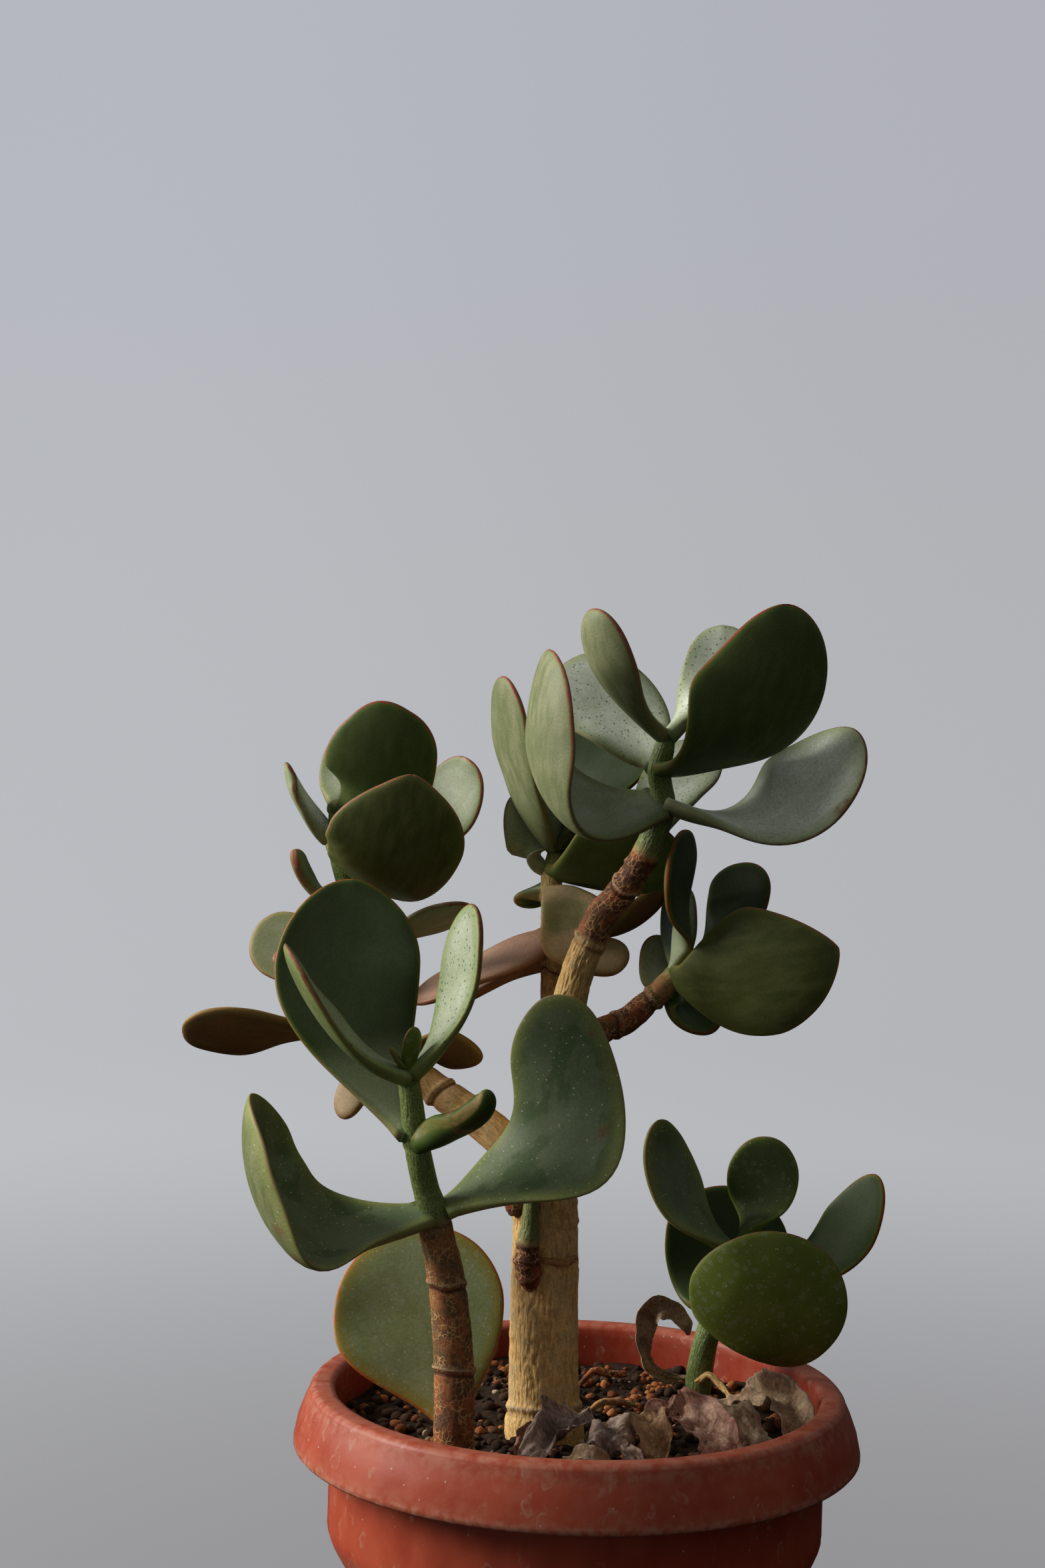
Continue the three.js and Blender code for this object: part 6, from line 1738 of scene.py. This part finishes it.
@dataclass
class Litter:
    """The dead leaves on the soil."""

    leaves: tuple[DryLeaf, ...] = DRY_LEAVES

    def build(self) -> None:
        """Makes every dead leaf in its own finish."""
        materials = {finish: finish.material() for finish in DRY_FINISHES}
        for seed, leaf in enumerate(self.leaves):
            leaf.piece(seed + 1).build(materials[leaf.finish], leaf.replaces)


# Stage


@dataclass
class Studio:
    """A pale cove, one large soft light from the left, a dim room, and the camera."""

    camera_at: Point = (-22.2, -693.0, 339.0)
    focal_pixels: float = 3287.0
    photo_height: float = 2352.0
    roll: float = math.radians(1.5)
    floor_radius: float = 2.2
    wall_radius: float = 3.4
    wall_height: float = 3.6
    key_at: Point = (-1500.0, 80.0, 950.0)
    key_power: float = 38.0
    key_size: float = 1.0
    key_colour: Colour = (1.0, 0.965, 0.9)
    fill: float = 0.1
    fill_grows: Point = (-0.07, -0.01, 0.16)
    fill_colour: Colour = (1.0, 0.985, 0.95)

    SENSOR = 36.0
    COVE_SIDES = 96
    ARC_STEPS = 24
    FLOOR_GAP = 0.0002

    def camera(self) -> None:
        """Sets the camera level, looking along +Y, with the photograph's slight roll."""
        data = bpy.data.cameras.new("view")
        data.sensor_width = self.SENSOR
        data.lens = self.focal_pixels / self.photo_height * self.SENSOR
        data.clip_start, data.clip_end = 0.02, 30.0
        made = bpy.data.objects.new("view", data)
        made.location = [part * MM for part in self.camera_at]
        made.rotation_euler = (math.pi / 2, -self.roll, 0.0)
        bpy.context.scene.collection.objects.link(made)
        bpy.context.scene.camera = made
        bpy.context.scene.view_settings.view_transform = "Standard"

    def cove(self) -> None:
        """Makes the floor that curves up into an all-round wall."""
        bend = self.wall_radius - self.floor_radius
        arc = [
            (self.floor_radius + bend * math.sin(t), bend * (1 - math.cos(t)))
            for t in np.linspace(0, math.pi / 2, self.ARC_STEPS)
        ]
        section = [(0.02, 0.0), (0.4, 0.0), (1.0, 0.0), *arc, (self.wall_radius, self.wall_height)]
        sides = self.COVE_SIDES
        turns = [2 * math.pi * s / sides for s in range(sides)]
        work = bmesh.new()
        rows = [
            [work.verts.new((r * math.cos(turn), r * math.sin(turn), z - self.FLOOR_GAP)) for turn in turns]
            for r, z in section
        ]
        for low, high in zip(rows[:-1], rows[1:]):
            for s in range(sides):
                work.faces.new((low[s], low[(s + 1) % sides], high[(s + 1) % sides], high[s]))
        work.faces.new(list(reversed(rows[0])))
        bmesh.ops.recalc_face_normals(work, faces=work.faces)
        mesh = bpy.data.meshes.new("cove")
        work.to_mesh(mesh)
        work.free()
        mesh.polygons.foreach_set("use_smooth", np.ones(len(mesh.polygons), bool))
        mesh.materials.append(self.paper())
        made = bpy.data.objects.new("cove", mesh)
        bpy.context.scene.collection.objects.link(made)
        for ray in ("diffuse", "glossy", "transmission", "shadow"):
            setattr(made, "visible_" + ray, False)

    def paper(self) -> bpy.types.Material:
        """Returns the cove's pale paper: mostly a glow that stands for the lit backdrop, with painted shade
        darkening the floor round the pot and painted shade darkening the side to the right, away from the
        window, and a little real shade from the pot on its faint diffuse part.
        """
        g = Graph("paper_with_painted_shade")
        where = g.node("TexCoord", {}).outputs["Object"]
        x, _, z = g.parts(where)
        reach = g.node("VectorMath", {0: where}, operation="LENGTH").outputs["Value"]
        # Painted shade: the floor's glow darker near the middle, round the pot.
        low = g.mix(g.step(reach, 0.1, 1.5), (0.21, 0.21, 0.22), (0.46, 0.475, 0.5))
        colour = g.mix(g.step(z, 0.6, 1.8), low, (0.455, 0.47, 0.525))
        # Painted shade: darker towards +x, the side away from the window light.
        colour = g.mix(g.step(x, -1.0, 1.0, 0.0, 0.2), colour, (0.24, 0.22, 0.24))
        shade = g.node("BsdfDiffuse", {"Color": (0.1, 0.1025, 0.1075)})
        glow = g.node("Emission", {"Color": colour, "Strength": 1.0})
        both = g.node("AddShader", {0: shade.outputs[0], 1: glow.outputs[0]})
        end = g.node("OutputMaterial", {})
        g.tree.links.new(both.outputs[0], end.inputs["Surface"])
        return g.material

    def lights(self) -> None:
        """Makes the soft light from the left, and the dim room, brighter on the left and above."""
        data = bpy.data.lights.new("window", "AREA")
        data.shape = "DISK"
        data.size = self.key_size
        data.energy = self.key_power
        data.color = self.key_colour
        made = bpy.data.objects.new("window", data)
        at = np.array(self.key_at) * MM
        made.location = at
        towards = unit(np.array([0.0, 0.0, 0.24]) - at)
        made.rotation_euler = Vector(towards).to_track_quat("-Z", "Y").to_euler()
        bpy.context.scene.collection.objects.link(made)
        world = bpy.data.worlds.new("room")
        bpy.context.scene.world = world
        world.use_nodes = True
        tree = world.node_tree
        tree.nodes.clear()
        coords = tree.nodes.new("ShaderNodeTexCoord")
        dot = tree.nodes.new("ShaderNodeVectorMath")
        dot.operation = "DOT_PRODUCT"
        dot.inputs[1].default_value = self.fill_grows
        grow = tree.nodes.new("ShaderNodeMath")
        grow.operation = "ADD"
        grow.use_clamp = True
        grow.inputs[1].default_value = self.fill
        back = tree.nodes.new("ShaderNodeBackground")
        back.inputs["Color"].default_value = (*self.fill_colour, 1.0)
        end = tree.nodes.new("ShaderNodeOutputWorld")
        tree.links.new(coords.outputs["Generated"], dot.inputs[0])
        tree.links.new(dot.outputs["Value"], grow.inputs[0])
        tree.links.new(grow.outputs[0], back.inputs["Strength"])
        tree.links.new(back.outputs[0], end.inputs["Surface"])

    def build(self) -> None:
        """Sets up the camera, the cove and the lights."""
        self.camera()
        self.cove()
        self.lights()


def main() -> None:
    """Builds the plant from the pot up, then its stage."""
    logging.basicConfig(level=logging.INFO, format="%(name)s: %(message)s")
    Studio().build()
    Pot().build()
    Soil().build()
    Wood().build()
    Foliage().build()
    Litter().build()


if __name__ == "__main__":
    main()
